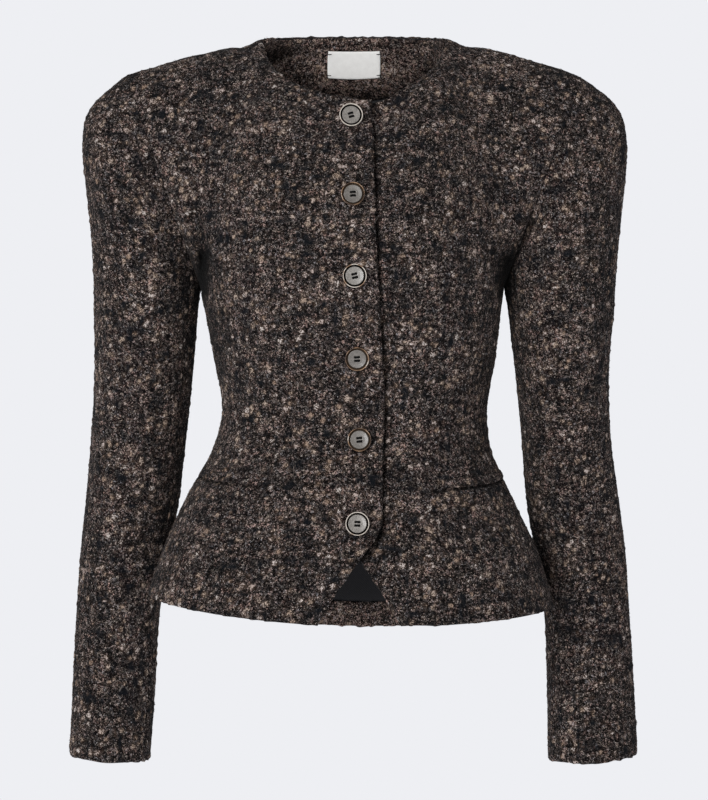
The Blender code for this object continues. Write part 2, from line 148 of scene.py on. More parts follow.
# Hip pockets: height of each mouth's outer end, and how much it falls towards the middle
Pocket = namedtuple("Pocket", "height slope")
POCKETS = {"right": Pocket(-0.4078, 0.020), "left": Pocket(-0.4068, 0.032)}
POCKET_INNER = 0.38
POCKET_OUTER = 0.97
WELT_HEIGHT = 0.008
WELT_WALL = 0.0016
WELT_FADE = (-0.1, 0.2)

# Buttons: each one's height and how far it lies across from the middle, from the top down
Button = namedtuple("Button", "height across")
BUTTONS = (
    Button(-0.0737, -0.0015),
    Button(-0.1470, 0.0010),
    Button(-0.2202, 0.0022),
    Button(-0.2938, 0.0022),
    Button(-0.3683, 0.0059),
    Button(-0.4439, 0.0062),
)
BUTTON_RADIUS = 0.0108
BUTTON_THICK = 0.0040
BUTTON_UPRIGHT = 0.4
BUTTON_GAP = 0.0005

# Small steps for slopes read off the form, and the least length that a direction is read from
STEP = 0.01
NEAR_MIDDLE = 0.1
TINY = 1e-9

# Distance between neighbouring points of the cloth, and points of its outside to one of its inside
SPACING = 0.0016
BACK_SPACING = 0.0019
LINING_SPACING = 0.0040
COARSE = 4

# Where the form is measured to space the points evenly, and at how many places
SAMPLES = 400
CHEST_LEVEL = 0.9
FRONT_MEASURED = 0.5
BACK_MEASURED = 0.4
AXIS_SAMPLES = 24

# Boucle yarn: lumps and nubs of the outside, and its tone, which runs in short blocks up and across
NOISE_CELLS = 80
LUMP_SIZE = 0.0042
LUMP_HEIGHT = 0.0006
LUMP_MIDDLE = 0.6
FINE_LUMP = 0.0022
FINE_SHARE = 0.7
NUB_SIZE = 0.0060
NUB_HEIGHT = 0.0008
NUB_LEAST = 0.42
NUB_SPREAD = 0.44
NUB_FADE = (0.15, 1.0)
NUB_SHARE = 0.34
NUB_SPARSE = 0.25
NUB_CROWD = 1.5
NUB_PATCH = (0.35, 0.7)
WARP_LUMP = (0.0034, 0.0034, 0.013)
WEFT_LUMP = (0.014, 0.014, 0.0034)
PATCH_LUMP = 0.017
BLOCK_TONE = 0.40
PATCH_TONE = 0.10
CREASE_SHADE = 1.1
CREASE_DEPTH = 0.0022
UNDER_FLAT = 0.8

# Seeds of the random patterns: yarn and curls of each outer piece, and the rest. A right piece or welt adds
# -1 to its seeds and a left one adds 1.
Seeds = namedtuple("Seeds", "yarn curls")
SEEDS = {
    "front": Seeds(10, 130),
    "back": Seeds(30, 140),
    "sleeve_top": Seeds(50, 200),
    "sleeve_under": Seeds(70, 220),
}
INSIDE_SEED = 90
WELT_SEED = 110
EDGE_SEED = 200
LAP_SHADE_SEED = 210

# Lining: its soft upright ripples
LINING_RIPPLE = 0.0012
LINING_LUMP = (0.02, 0.05, 0.15)

# Edges of the cloth: how far they roll in, on the edge itself and beside it, and how uneven they are
EDGE_ROUND = 0.0013
EDGE_WALL_SHARE = 0.45
EDGE_LINES = (1.0, 0.25)
EDGE_LUMP = 0.0042
EDGE_LUMP_REACH = 0.0013

# How much of the whole roll each side of a piece has: 1 at a free edge, less at a seam
Rolls = namedtuple("Rolls", "first_row last_row first_column last_column")
SEAM_ROLL = 0.15
ALL_ROUND = Rolls(1.0, 1.0, 1.0, 1.0)
FRONT_ROLLS = Rolls(1.0, 1.0, 1.0, SEAM_ROLL)
BACK_ROLLS = Rolls(1.0, 1.0, SEAM_ROLL, SEAM_ROLL)
SLEEVE_ROLLS = Rolls(SEAM_ROLL, 1.0, 0.5, 0.5)

# The lapping edge: its lift, and the shade past it, uneven, weak at the top and strong at the corner below
LAP_LIFT = 0.0018
LAP_LIFT_WIDTH = 0.014
LAP_SHADE_PAST = 0.0013
LAP_SHADE_WIDTH = 0.0028
LAP_SHADE_LUMP = 0.022
LAP_SHADE_LUMPS = (0.25, 0.6)
LAP_SHADE_TOP = (-0.085, -0.062)
LAP_SHADE_TOP_LESS = 0.7
LAP_SHADE_CORNER = (-0.455, -0.440)
LAP_SHADE_CORNER_MORE = 1.5

# Pocket slits, pressed in and painted with shade, and the label and its tacks
SLIT_BELOW = 0.0012
SLIT_HALF_HEIGHT = 0.0015
SLIT_STRENGTH = {"right": 1.2, "left": 1.6}
SLIT_INNER_FADE = (0.24, 0.44)
WELT_REST = 0.0003
WELT_YARN = 0.5
WELT_OUTER_FADE = (0.72, 0.97)
WELT_OUTER_SHARE = {"right": 0.15, "left": 0.90}
LABEL_ROWS = 32
LABEL_COLUMNS = 56
LABEL_DRAWN_IN = 0.03
LABEL_BOW = 0.0007
TACK_LENGTH = 0.0032
TACK_RADIUS = 0.0004
TACK_FROM_EDGE = 0.0028
TACK_POINTS = 7

# Buttons: outline as shares of the radius and thickness, from the middle of the face round to the back
BUTTON_OUTLINE = (
    (0.00, 0.66),
    (0.45, 0.67),
    (0.68, 0.74),
    (0.745, 0.77),
    (0.765, 0.70),
    (0.775, 0.32),
    (0.91, 0.32),
    (0.92, 0.86),
    (0.95, 1.00),
    (0.98, 0.94),
    (1.00, 0.70),
    (0.94, 0.25),
    (0.70, 0.00),
    (0.00, 0.00),
)
GROOVE_SPAN = (0.75, 0.915)
BUTTON_RINGS = 100
BUTTON_SEGMENTS = 60
BUTTON_TURNS = (16, 4, 14, 3, 6, -2)
BUTTON_AGES = (0.00, 0.98, 0.05, 0.95, 0.92, 0.02)
HOLE_ACROSS = 0.0018
HOLE_UP = 0.0016
HOLE_RADIUS = 0.0010
HOLE_DEPTH = 0.0012
HOLE_SIDE = (0.5, 1.3)
THREAD_RADIUS = 0.00040
THREAD_SIDES = 6
THREAD_POINTS = 9
THREAD_STRANDS = 3
THREAD_APART = 1.5
THREAD_HALF_LENGTH = 0.00225
THREAD_RISE = 0.0010

# Colours of the boucle: ground yarn from its darkest to its palest, nubs by their tint, and single fibres
GROUND_COLOURS = (
    (0.00, (0.0026, 0.0021, 0.0022)),
    (0.25, (0.0085, 0.0068, 0.0062)),
    (0.50, (0.0290, 0.0225, 0.0200)),
    (0.75, (0.0940, 0.0770, 0.0705)),
    (1.00, (0.3150, 0.2750, 0.2560)),
)
HUES = (
    (0.30, (0.92, 1.00, 1.07)),
    (0.50, (1.00, 1.00, 1.00)),
    (0.70, (1.10, 0.985, 0.93)),
)
YARN_HUES = (
    (0.00, (0.93, 1.00, 1.12)),
    (0.30, (1.00, 1.00, 1.00)),
    (0.55, (1.02, 1.01, 0.93)),
    (0.80, (1.09, 0.96, 0.99)),
    (1.00, (1.13, 0.95, 0.90)),
)
DARK_BLOCK = (0.0055, 0.0068, 0.0090, 1)
NUB_COLOURS = (
    (0.00, (0.330, 0.230, 0.170)),
    (0.40, (0.500, 0.395, 0.315)),
    (0.70, (0.530, 0.435, 0.400)),
    (1.00, (0.705, 0.642, 0.600)),
)
NUB_FRINGE = (0.125, 0.083, 0.060, 1)
PALE_FIBRE = (0.295, 0.262, 0.243, 1)
CURL_COLOURS = (
    (0.00, (0.0050, 0.0048, 0.0055)),
    (0.45, (0.0150, 0.0125, 0.0115)),
    (0.70, (0.0600, 0.0480, 0.0420)),
    (0.90, (0.1800, 0.1450, 0.1250)),
    (1.00, (0.4200, 0.3600, 0.3200)),
)
LINING_COLOURS = (
    (0.0, (0.007, 0.0068, 0.0078)),
    (1.0, (0.017, 0.0165, 0.0185)),
)
THREAD_COLOURS = (
    (0.0, (0.0015, 0.0015, 0.0018)),
    (1.0, (0.007, 0.0068, 0.0068)),
)
LABEL_COLOURS = (
    (0.0, (0.72, 0.71, 0.685)),
    (1.0, (0.93, 0.92, 0.90)),
)

# Colours of the buttons, from the middle of the face out to the rim
FACE_DARK = (0.085, 0.078, 0.070, 1)
FACE_PALE = (0.320, 0.296, 0.268, 1)
FACE_AGED = (0.055, 0.047, 0.040, 1)
GROOVE = (0.004, 0.0035, 0.003, 1)
GROOVE_AGED = (0.040, 0.027, 0.018, 1)
RIM_COLOURS = (
    (0.10, (0.620, 0.560, 0.490)),
    (0.40, (0.300, 0.180, 0.100)),
    (0.75, (0.060, 0.034, 0.020)),
)

# Patterns of the boucle, as lumps to a metre, and how far places are shaken to break their straight lines
SHAKE_SCALE = 700.0
SHAKE_DISTANCE = 0.0016
KNOT_SCALE = 480.0
SPECK_SCALE = 1050.0
FIBRE_SCALE = 1300.0
STRAND_SCALE = 420.0
YARN_GLOSS = {"Sheen_Weight": 0.02, "Specular_IOR_Level": 0.04}

# Brightness of the ground yarn: where it starts, and how much each pattern adds
Brightness = namedtuple("Brightness", "start tone knot speck fibre")
GROUND = Brightness(-1.69, 0.95, 0.45, 1.05, 1.5)
KNOT_WARMTH = 0.22
DARK_STRENGTH = 0.75
FIBRE_RELIEF = 1.2
KNOT_RELIEF = -1.0
CURL_FIBRES = 0.5

# How a pattern's value becomes a share of a colour
Share = namedtuple("Share", "slope start")
DARK_TONES = Share(-8.0, 3.1)
FRINGE_FIBRES = Share(2.4, -0.7)
CORE_NUBS = 4.4
CORE_SPECKS = Share(4.5, -5.3)
CORE_FIBRES = Share(1.6, -0.1)
STRAND_RIDGES = Share(-45.0, 0.8)
STRAND_KNOTS = Share(1.2, -0.35)
STRAND_TONES = Share(6.0, -1.2)
FACE_AGES = Share(0.45, 0.08)
RIM_AGES = Share(0.65, -1.45)
RIM_PATCHES = 2.7
RIM_RADII = Share(60.0, -50.4)

# Label: how much of its tone comes from a soft cloud, and how much from its weave
LABEL_CLOUD = 0.7
LABEL_WEAVE = 0.55

# Horn: how close its rays lie, how far apart the buttons and the halves of a face are read in the rays'
# pattern, and how much each pattern adds to the grain
RAYS = 5.0
BUTTONS_APART = 7.0
HALVES_APART = 20.0
Grain = namedtuple("Grain", "start specks cloud rays")
GRAIN = Grain(-1.6, 1.6, 0.9, 1.7)

# Folds: soft troughs pressed into the cloth from in front, behind or above, between two places. From in
# front or behind a place is given across and up, from above it is given across and back. A fold's dark is
# painted shade in the yarn's colour, darkest in the creases at the underarms, whose yarn lies in shadow.
# Strokes with no depth are painted shade only.
Fold = namedtuple("Fold", "face start end width depth dark", defaults=(0.0,))
FOLDS = (
    Fold("front", (-0.1400, -0.1985), (-0.1422, -0.2315), 0.0054, 0.0060, 4.2),
    Fold("front", (-0.1489, -0.1574), (-0.1400, -0.2010), 0.0070, 0.0030, 0.5),
    Fold("front", (-0.1560, -0.2080), (-0.1530, -0.2250), 0.0120, 0.0030, 0.5),
    Fold("front", (0.1420, -0.2035), (0.1400, -0.2315), 0.0068, 0.0060, 3.0),
    Fold("front", (0.1646, -0.1677), (0.1470, -0.2000), 0.0036, 0.0030, 1.2),
    Fold("front", (0.1350, -0.1980), (0.1340, -0.2120), 0.0110, 0.0030, 0.5),
    Fold("back", (-0.1500, -0.1650), (-0.1460, -0.2400), 0.0070, 0.0060, 1.2),
    Fold("back", (0.1500, -0.1650), (0.1440, -0.2400), 0.0070, 0.0060, 1.2),
    Fold("above", (-0.104, -0.050), (-0.104, 0.050), 0.0100, 0.0036),
    Fold("above", (0.104, -0.050), (0.104, 0.050), 0.0100, 0.0028),
    Fold("above", (-0.160, -0.040), (-0.160, 0.040), 0.0160, -0.0014),
    Fold("above", (0.140, -0.040), (0.140, 0.040), 0.0160, -0.0012),
    Fold("above", (-0.233, -0.050), (-0.233, 0.060), 0.0160, 0.0032),
    Fold("above", (0.224, -0.050), (0.224, 0.060), 0.0200, 0.0044),
    # Painted shade down the body's sides: strokes with no depth
    Fold("front", (-0.1300, -0.2150), (-0.1280, -0.2900), 0.0120, 0.0, 0.35),
    Fold("front", (0.1220, -0.3000), (0.1220, -0.3800), 0.0140, 0.0, 0.40),
    Fold("above", (0.052, -0.150), (0.052, -0.140), 0.0160, -0.0014),
    Fold("front", (0.128, -0.232), (0.050, -0.262), 0.0100, 0.0016),
    Fold("front", (-0.126, -0.238), (-0.062, -0.272), 0.0090, 0.0012),
    Fold("front", (0.118, -0.320), (0.072, -0.352), 0.0100, 0.0014),
    Fold("front", (-0.116, -0.326), (-0.070, -0.356), 0.0100, 0.0012),
    Fold("back", (-0.090, -0.340), (0.020, -0.350), 0.0120, 0.0018),
    Fold("back", (-0.020, -0.372), (0.094, -0.362), 0.0120, 0.0016),
    Fold("front", (-0.262, -0.150), (-0.205, -0.185), 0.0120, 0.0014),
    Fold("front", (-0.186, -0.340), (-0.226, -0.372), 0.0110, 0.0015),
    Fold("front", (0.183, -0.352), (0.222, -0.382), 0.0110, 0.0014),
    Fold("front", (0.204, -0.588), (0.244, -0.612), 0.0100, 0.0014),
    Fold("front", (-0.246, -0.596), (-0.208, -0.628), 0.0100, 0.0012),
    Fold("back", (-0.240, -0.360), (-0.188, -0.392), 0.0110, 0.0016),
    Fold("back", (0.236, -0.348), (0.186, -0.384), 0.0110, 0.0016),
)

# Strokes of shade on the neck facing, along its edges and round the label, as folds that only darken
NECK_SHADES = (
    Fold("front", (-0.0815, -0.0060), (-0.0640, 0.0010), 0.0055, 0.0, 1.6),
    Fold("front", (-0.0640, 0.0010), (-0.0420, 0.0010), 0.0050, 0.0, 0.6),
    Fold("front", (-0.0450, -0.0360), (0.0450, -0.0375), 0.0110, 0.0, 1.0),
    Fold("front", (0.0040, -0.0425), (0.0340, -0.0405), 0.0050, 0.0, 1.6),
    Fold("front", (0.0450, 0.0060), (0.0450, -0.0300), 0.0160, 0.0, 0.35),
    Fold("front", (0.0785, 0.0020), (0.0700, -0.0180), 0.0050, 0.0, 0.7),
    Fold("front", (0.0700, -0.0180), (0.0500, -0.0360), 0.0080, 0.0, 1.6),
)
INWARD = {"front": (0, 1, 0), "back": (0, -1, 0), "above": (0, 0, -1)}

# How far cloth has to face a fold's side to be pressed by it, and to be shaded by it
PRESS_FACING = (-0.2, 0.4)
SHADE_FACING = (-0.7, -0.1)

# Loose curls of yarn, their number to a square metre of cloth, and their sizes from least to most
CURLS = 30000
CURL_LENGTH = (0.0014, 0.0034)
CURL_RISE = (0.0002, 0.0009)
CURL_HALF_WIDTH = 0.00016
CURL_BEND = 0.35
CURL_POINTS = 4
CURL_DARKEST = 0.3

# Camera, in the photo's frame of 708 by 800 pixels
CAMERA = (-0.0005, -3.0, -0.33182)
PIXEL_SIZE = 0.00094
FRAME_HEIGHT = 800
SENSOR = 36.0

# Stage and lamps
PALE = (0.855, 0.863, 0.896, 1)
SURROUND_LIGHT = 0.28
FLOOR_LIGHT = 0.9
FLOOR_HEIGHT = -0.76
FLOOR_HALF_WIDTH = 60.0
Lamp = namedtuple("Lamp", "name place size power")
LAMPS = (
    Lamp("key", (-2.0, -4.2, 1.2), 1.5, 112),
    Lamp("fill", (2.7, -3.4, 0.3), 2.0, 11),
    Lamp("front", (-1.2, -4.5, -0.1), 1.4, 74),
)
LAMP_TARGET = (0, 0, -0.3)


# The form, as the part has it


def hermite(start, start_slope, end, end_slope, t):
    """Cubic from start to end with the given slopes, t from 0 to 1."""
    return (
        (2 * t**3 - 3 * t**2 + 1) * start
        + (t**3 - 2 * t**2 + t) * start_slope
        + (3 * t**2 - 2 * t**3) * end
        + (t**3 - t**2) * end_slope
    )


def eased(low, high, value):
    """0 below low, 1 above high, with a smooth rise between."""
    t = np.clip((value - low) / (high - low), 0, 1)
    return t * t * (3 - 2 * t)


def read(table, column, height):
    """A smooth curve through one column of a table, read at the given heights."""
    rows = sorted(table, key=lambda row: row.height)
    heights = np.array([row.height for row in rows])
    values = np.array([getattr(row, column) for row in rows])
    slopes = np.gradient(values, heights)
    i = np.clip(np.searchsorted(heights, height) - 1, 0, len(rows) - 2)
    step = heights[i + 1] - heights[i]
    t = (height - heights[i]) / step
    return hermite(values[i], slopes[i] * step, values[i + 1], slopes[i + 1] * step, t)


def body(face, around, level):
    """Points of the body below the underarm: level 0 at the hem and 1 at the underarm.

    around is 0 in the middle, 1 at the wearer's left side seam and -1 at the right one.
    """
    height = BODY[0].height + level * (BODY[-1].height - BODY[0].height)
    column, drop, power = ("front", "front_drop", FRONT_ROUNDNESS)
    if face is BACK:
        column, drop, power = ("back", "back_drop", BACK_ROUNDNESS)
    sine = np.sin(around * math.pi / 2)
    cosine = np.cos(around * math.pi / 2)
    reach = (np.abs(sine) ** power + np.abs(cosine) ** power) ** (-1 / power)
    side = read(BODY, "side", height)
    x = read(BODY, "swing", height) + read(BODY, "half_width", height) * sine * reach
    y = side + (read(BODY, column, height) - side) * cosine * reach
    z = height - read(BODY, drop, height) * cosine**2 + HEM_TILT * x * (1 - level) ** 2
    return np.stack((x, y, z), axis=-1)


def soft_ramp(value, softness):
    """Follows the value when it is positive and stays near 0 when it isn't, with a soft bend at 0."""
    return 0.5 * (value + np.sqrt(value**2 + softness**2))


def top_edge(face, around, softness):
    """The neckline from the middle out to the neck point, then the shoulder seam out to its tip.

    The neckline dips where the fronts lap. The softness rounds the corner at the neck point, for the
    cloth below the edge.
    """
    share = np.abs(around)
    to_neck = 1 - soft_ramp(1 - share / NECK_SHARE, softness)
    turn = (to_neck - 1 + soft_ramp(1, softness)) * math.pi / 2
    start = -NECK_SHARE / (1 - NECK_SHARE)
    along = soft_ramp(start + share / (1 - NECK_SHARE), softness) - soft_ramp(start, softness)
    x = NECK_HALF_WIDTH * np.sin(turn) + (SHOULDER_TIP[0] - NECK_HALF_WIDTH) * along
    x = np.sign(around) * x + NECK_SWING * np.cos(turn)
    y = face.neck_y * np.cos(turn) + SHOULDER_TIP[1] * along
    z = NECK_POINT_HEIGHT + (face.neck_height - NECK_POINT_HEIGHT) * np.cos(turn)
    dip = np.exp(-(((x - NECK_DIP_ACROSS) / NECK_DIP_WIDTH) ** 2))
    z = z + (SHOULDER_TIP[2] - NECK_POINT_HEIGHT) * along - face.neck_dip * dip
    return np.stack((x, y, z), axis=-1)


def yoke(face, around, t):
    """Points above the underarm section: t 0 there and 1 at the neck and shoulder edge."""
    share = np.abs(around)
    at_armhole = eased(ARMHOLE_BLEND, 1.0, share)
    at_shoulder = eased(0.0, NECK_SHARE, share)
    lower = body(face, around, np.ones_like(around))
    below = body(face, around, np.ones_like(around) - STEP)
    start = (lower - below) / STEP / (BODY[-1].height - BODY[0].height) * RISE
    armhole_start = np.stack((0 * share, 0 * share + face.armhole_start, 0 * share), axis=-1)
    start = start + (armhole_start - start) * at_armhole[..., None]
    end_y = face.neck_end[0] + (face.shoulder_end[0] - face.neck_end[0]) * at_shoulder
    end_z = face.neck_end[1] + (face.shoulder_end[1] - face.neck_end[1]) * at_shoulder
    end_y = end_y + (face.armhole_end - end_y) * at_armhole
    end_z = end_z * (1 - at_armhole)
    end = np.stack((0 * share, end_y, end_z), axis=-1)
    edge = top_edge(face, around, CORNER_SOFTNESS * (1 - t))
    return hermite(lower, start, edge, end, t[..., None])


def torso(face, around, level):
    """Outer face of the jacket's body: level 0 hem, 1 underarm, 2 neck and shoulder."""
    around, level = np.broadcast_arrays(np.asarray(around, float), np.asarray(level, float))
    below = body(face, around, np.clip(level, 0, 1))
    above = yoke(face, around, np.clip(level - 1, 0, 1))
    return np.where((level <= 1)[..., None], below, above)


def level_at(face, height):
    """The level whose middle lies at this height."""
    levels = np.linspace(0, 2, SAMPLES)
    return np.interp(height, torso(face, 0 * levels, levels)[:, 2], levels)


def share_at(face, level, across):
    """The around value of a point this far across from the middle of its section, near the middle."""
    middle = torso(face, 0.0, level)[..., 0]
    return across * NEAR_MIDDLE / (torso(face, NEAR_MIDDLE, level)[..., 0] - middle)


def armhole(side, turn):
    """The armhole seam: turn 0 at the underarm, 0.25 in front, 0.5 at the shoulder, 0.75 behind."""
    turn = turn % 1
    around = np.full_like(turn, side.sign)
    front = torso(FRONT, around, 1 + np.clip(2 * turn, 0, 1))
    back = torso(BACK, around, 1 + np.clip(2 - 2 * turn, 0, 1))
    return np.where((turn <= SHOULDER_TURN)[..., None], front, back)


def arm(side, turn, level):
    """Points of the sleeve below the underarm: level 0 at the upper arm and 1 at the cuff."""
    height = ARM[0].height + level * (ARM[-1].height - ARM[0].height)
    out = -read(ARM, f"half_{side.name}", height) * np.cos(2 * math.pi * turn)
    x = read(ARM, f"out_{side.name}", height) + out
    y = read(ARM, "back", height) - read(ARM, "half_depth", height) * np.sin(2 * math.pi * turn)
    z = height + CUFF_TILT * out * level
    return np.stack((side.sign * x, y, z), axis=-1)


def sleeve(side, turn, level):
    """Outer face of a sleeve: level 0 at the armhole, 1 at the upper arm, 2 at the cuff."""
    turn, level = np.broadcast_arrays(np.asarray(turn, float), np.asarray(level, float))
    top = 0.5 - 0.5 * np.cos(2 * math.pi * turn)
    drop = -UNDERARM_LENGTH + (HEAD_DROP + UNDERARM_LENGTH) * top
    puff = -HEAD_PUFF * np.sin(2 * math.pi * turn)
    leaving = np.stack((side.sign * side.head_out * top, puff, drop), axis=-1)
    upper = arm(side, turn, 0 * level)
    fall = (arm(side, turn, 0 * level + STEP) - upper) / STEP / (ARM[0].height - ARM[-1].height)
    fall[..., 0] += side.sign * side.head_flare * top
    length = UNDERARM_LENGTH + (HEAD_LENGTH - UNDERARM_LENGTH) * top
    t = np.clip(level, 0, 1)[..., None]
    head = hermite(armhole(side, turn), leaving, upper, fall * length[..., None], t)
    below = arm(side, turn, np.clip(level - 1, 0, 1))
    return np.where((level <= 1)[..., None], head, below)


# Grids of points on the form


def unit(vectors):
    """The same directions at a length of 1."""
    return vectors / np.maximum(np.linalg.norm(vectors, axis=-1, keepdims=True), TINY)


def lengths_along(points, axis):
    """Distance run along a grid's rows or columns from their first point."""
    steps = np.linalg.norm(np.diff(points, axis=axis), axis=-1)
    start = np.zeros_like(np.take(steps, [0], axis=axis))
    return np.concatenate((start, np.cumsum(steps, axis=axis)), axis=axis)


def evenly(values, points, spacing):
    """Values whose points are evenly spaced along a line, a whole number of coarse steps in all."""
    run = lengths_along(points, 0)
    count = COARSE * max(1, round(run[-1] / spacing / COARSE))
    return np.interp(np.linspace(0, run[-1], count + 1), run, values)


def normals_of(grid, inside):
    """Unit normals of a grid of points, pointing away from inside."""
    along_rows = np.gradient(grid, axis=0, edge_order=2)
    along_columns = np.gradient(grid, axis=1, edge_order=2)
    normals = unit(np.cross(along_columns, along_rows))
    return normals * np.sign((normals * (grid - inside)).sum())


# One piece of cloth: its outer points and normals, and how far each point lies along the cloth's own
# two directions from a middle line and a level line
Cloth = namedtuple("Cloth", "points normals across along")


def flat_area(cloth):
    """Area of a piece's grid, from the sides of its cells."""
    across = np.linalg.norm(np.diff(cloth.points, axis=1), axis=-1)
    along = np.linalg.norm(np.diff(cloth.points, axis=0), axis=-1)
    return (0.25 * (across[1:] + across[:-1]) * (along[:, 1:] + along[:, :-1])).sum()


def cloth_of(grid, inside, middle_column, level_row):
    """The cloth of a grid of points, which faces away from inside."""
    across = lengths_along(grid, 1)
    across -= across[:, [middle_column]]
    along = lengths_along(grid, 0)
    along -= along[[level_row]]
    return Cloth(grid, normals_of(grid, inside), across, along)


def torso_cloth(grid, middle_column, level_row):
    """The cloth of a grid of points on the body, which faces away from its upright axis."""
    return cloth_of(grid, grid * (0, 0, 1), middle_column, level_row)


def torso_levels(face, first, last, around, spacing):
    """Levels of the body whose points are evenly spaced, up a line that lies this far round."""
    values = np.linspace(first, last, 2 * SAMPLES)
    return evenly(values, torso(face, 0 * values + around, values), spacing)


def front_cloth(side):
    """A front's outer face, how far each point lies under the lapping front, and how deep in a crease."""
    levels = torso_levels(FRONT, 0, 2, FRONT_MEASURED, SPACING)
    middle = torso(FRONT, 0 * levels, levels)[:, 2]
    column = "lapping" if side is RIGHT else "under"
    edge = -side.sign * share_at(FRONT, levels, read(FRONT_EDGES, column, middle))
    t = np.linspace(0, 1, SAMPLES)
    across = evenly(t, torso(FRONT, side.sign * t, CHEST_LEVEL), SPACING)
    shares = edge[:, None] + (side.sign - edge[:, None]) * across
    grid = torso(FRONT, shares, levels[:, None])
    cloth = torso_cloth(grid, 0, np.argmin(np.abs(levels - 1)))
    # The pocket slit: pressed in and painted as shade under the lip
    slit = SLIT_STRENGTH[side.name] * pocket_slit(side, cloth, levels, np.abs(shares))
    if side is RIGHT:
        lift = LAP_LIFT * (1 - eased(0, LAP_LIFT_WIDTH, np.abs(cloth.across)))
        return cloth._replace(points=grid + cloth.normals * lift[..., None]), np.zeros_like(shares), slit
    cover = share_at(FRONT, levels, read(FRONT_EDGES, "lapping", middle))[:, None]
    under = 1 - eased(cover + LAP_FLAT, cover + LAP_EASE, shares)
    lowered = grid - cloth.normals * (under * (WALL + LAP_GAP))[..., None]
    lapping_edge = torso(FRONT, cover, levels[:, None])
    return cloth._replace(points=lowered), under, np.maximum(slit, lap_shade(grid, lapping_edge))


def lap_shade(grid, lapping_edge):
    """How deep the under front lies in the shade of the lapping edge."""
    past_edge = grid[..., 0] - lapping_edge[..., 0] - LAP_SHADE_PAST
    corner = 1 - eased(*LAP_SHADE_CORNER, grid[..., 2])
    shade = np.exp(-((past_edge / LAP_SHADE_WIDTH / (1 + corner)) ** 2))
    shade *= 0.5 + 0.5 * eased(*LAP_SHADE_LUMPS, smooth_noise(grid / LAP_SHADE_LUMP, LAP_SHADE_SEED))
    shade *= 1 - LAP_SHADE_TOP_LESS * eased(*LAP_SHADE_TOP, grid[..., 2])
    return shade * (1 + LAP_SHADE_CORNER_MORE * corner)


def back_cloth(first_level, last_level, span, spacing):
    """The back's outer face between two levels, this far round to each side."""
    levels = torso_levels(BACK, first_level, last_level, BACK_MEASURED * span, spacing)
    t = np.linspace(-span, span, SAMPLES)
    shares = evenly(t, torso(BACK, t, CHEST_LEVEL), spacing)
    grid = torso(BACK, shares, levels[:, None])
    return torso_cloth(grid, len(shares) // 2, np.argmin(np.abs(levels - 1)))


def sleeve_cloth(side, first_turn, last_turn):
    """A sleeve's outer face between two seams."""
    values = np.linspace(0, 2, 2 * SAMPLES)
    levels = evenly(values, sleeve(side, 0 * values + SHOULDER_TURN, values), SPACING)
    t = np.linspace(first_turn, last_turn, SAMPLES)
    turns = evenly(t, sleeve(side, t, 1.0), SPACING)
    grid = sleeve(side, turns, levels[:, None])
    rim = np.linspace(0, 1, AXIS_SAMPLES, endpoint=False)
    axis = sleeve(side, rim, levels[:, None]).mean(axis=1)
    return cloth_of(grid, axis[:, None, :], len(turns) // 2, np.argmin(np.abs(levels - 1)))


def folded(cloth, folds=FOLDS):
    """The cloth with the folds pressed into it where it faces their side, and the painted shade of each
    point.
    """
    points = cloth.points.copy()
    dark = np.zeros(points.shape[:2])
    for fold in folds:
        inward = np.array(INWARD[fold.face])
        flat = cloth.points[..., inward == 0]
        start, end = np.array(fold.start), np.array(fold.end)
        along = ((flat - start) @ (end - start)) / ((end - start) @ (end - start))
        nearest = start + np.clip(along, 0, 1)[..., None] * (end - start)
        far = np.linalg.norm(flat - nearest, axis=-1) / fold.width
        share = np.exp(-(far**2))
        facing = -cloth.normals @ inward
        points += fold.depth * (share * eased(*PRESS_FACING, facing))[..., None] * inward
        dark = np.maximum(dark, fold.dark * share * eased(*SHADE_FACING, facing))
    return cloth._replace(points=points), dark


def inside_of(cloth, depth):
    """The same cloth as a layer inside the jacket, with its face this far in from the outer face."""
    return cloth._replace(points=cloth.points - cloth.normals * depth, normals=-cloth.normals)


def inside_layer(first_level, last_level, span, wall, spacing):
    """A layer against the inside of the back, short of its neighbours by the seam gap."""
    cloth = back_cloth(first_level, last_level, span, spacing)
    for edge, beside in ((0, 1), (-1, -2)):
        cloth.points[edge] += unit(cloth.points[beside] - cloth.points[edge]) * SEAM_GAP
    return inside_of(cloth, WALL + LAYER_GAP + wall)


def label_cloth():
    """The label's face, drawn in at the tacks of its four corners."""
    t = np.linspace(0, 1, LABEL_ROWS + 1)
    levels = level_at(BACK, LABEL_TOP + LABEL_HEIGHT * (t - 1))
    half_width = LABEL_HALF_WIDTH * (1 - LABEL_DRAWN_IN * (2 * t - 1) ** 4)
    across = LABEL_ACROSS + half_width[:, None] * np.linspace(-1, 1, LABEL_COLUMNS + 1)
    levels = levels[:, None]
    shares = share_at(BACK, levels, across)
    reached = torso(BACK, shares, levels)[..., 0] - torso(BACK, 0.0, levels)[..., 0]
    shares = shares + share_at(BACK, levels, across - reached)
    cloth = torso_cloth(torso(BACK, shares, levels), LABEL_COLUMNS // 2, LABEL_ROWS // 2)
    return inside_of(cloth, 2 * WALL + LAYER_GAP + LABEL_GAP + LABEL_WALL)


def welt_cloth(side):
    """The lip along a pocket mouth and its wall, which thins towards its ends."""
    height = POCKETS[side.name].height
    low = level_at(FRONT, height)
    steps = np.linspace(0, level_at(FRONT, height + WELT_HEIGHT) - low, 2 * COARSE + 1)
    t = np.linspace(POCKET_INNER, POCKET_OUTER, SAMPLES)
    shares = evenly(t, torso(FRONT, side.sign * t, low), SPACING)
    cloth = torso_cloth(torso(FRONT, side.sign * shares, pocket_levels(side, shares) + steps[:, None]), 0, 0)
    first, last = WELT_FADE
    wall = WELT_WALL * eased(POCKET_INNER + first, POCKET_INNER + last, shares) + 0 * steps[:, None]
    wall *= 1 - (1 - WELT_OUTER_SHARE[side.name]) * eased(*WELT_OUTER_FADE, shares)
    return cloth._replace(points=cloth.points + cloth.normals * (WELT_REST + wall)[..., None]), wall


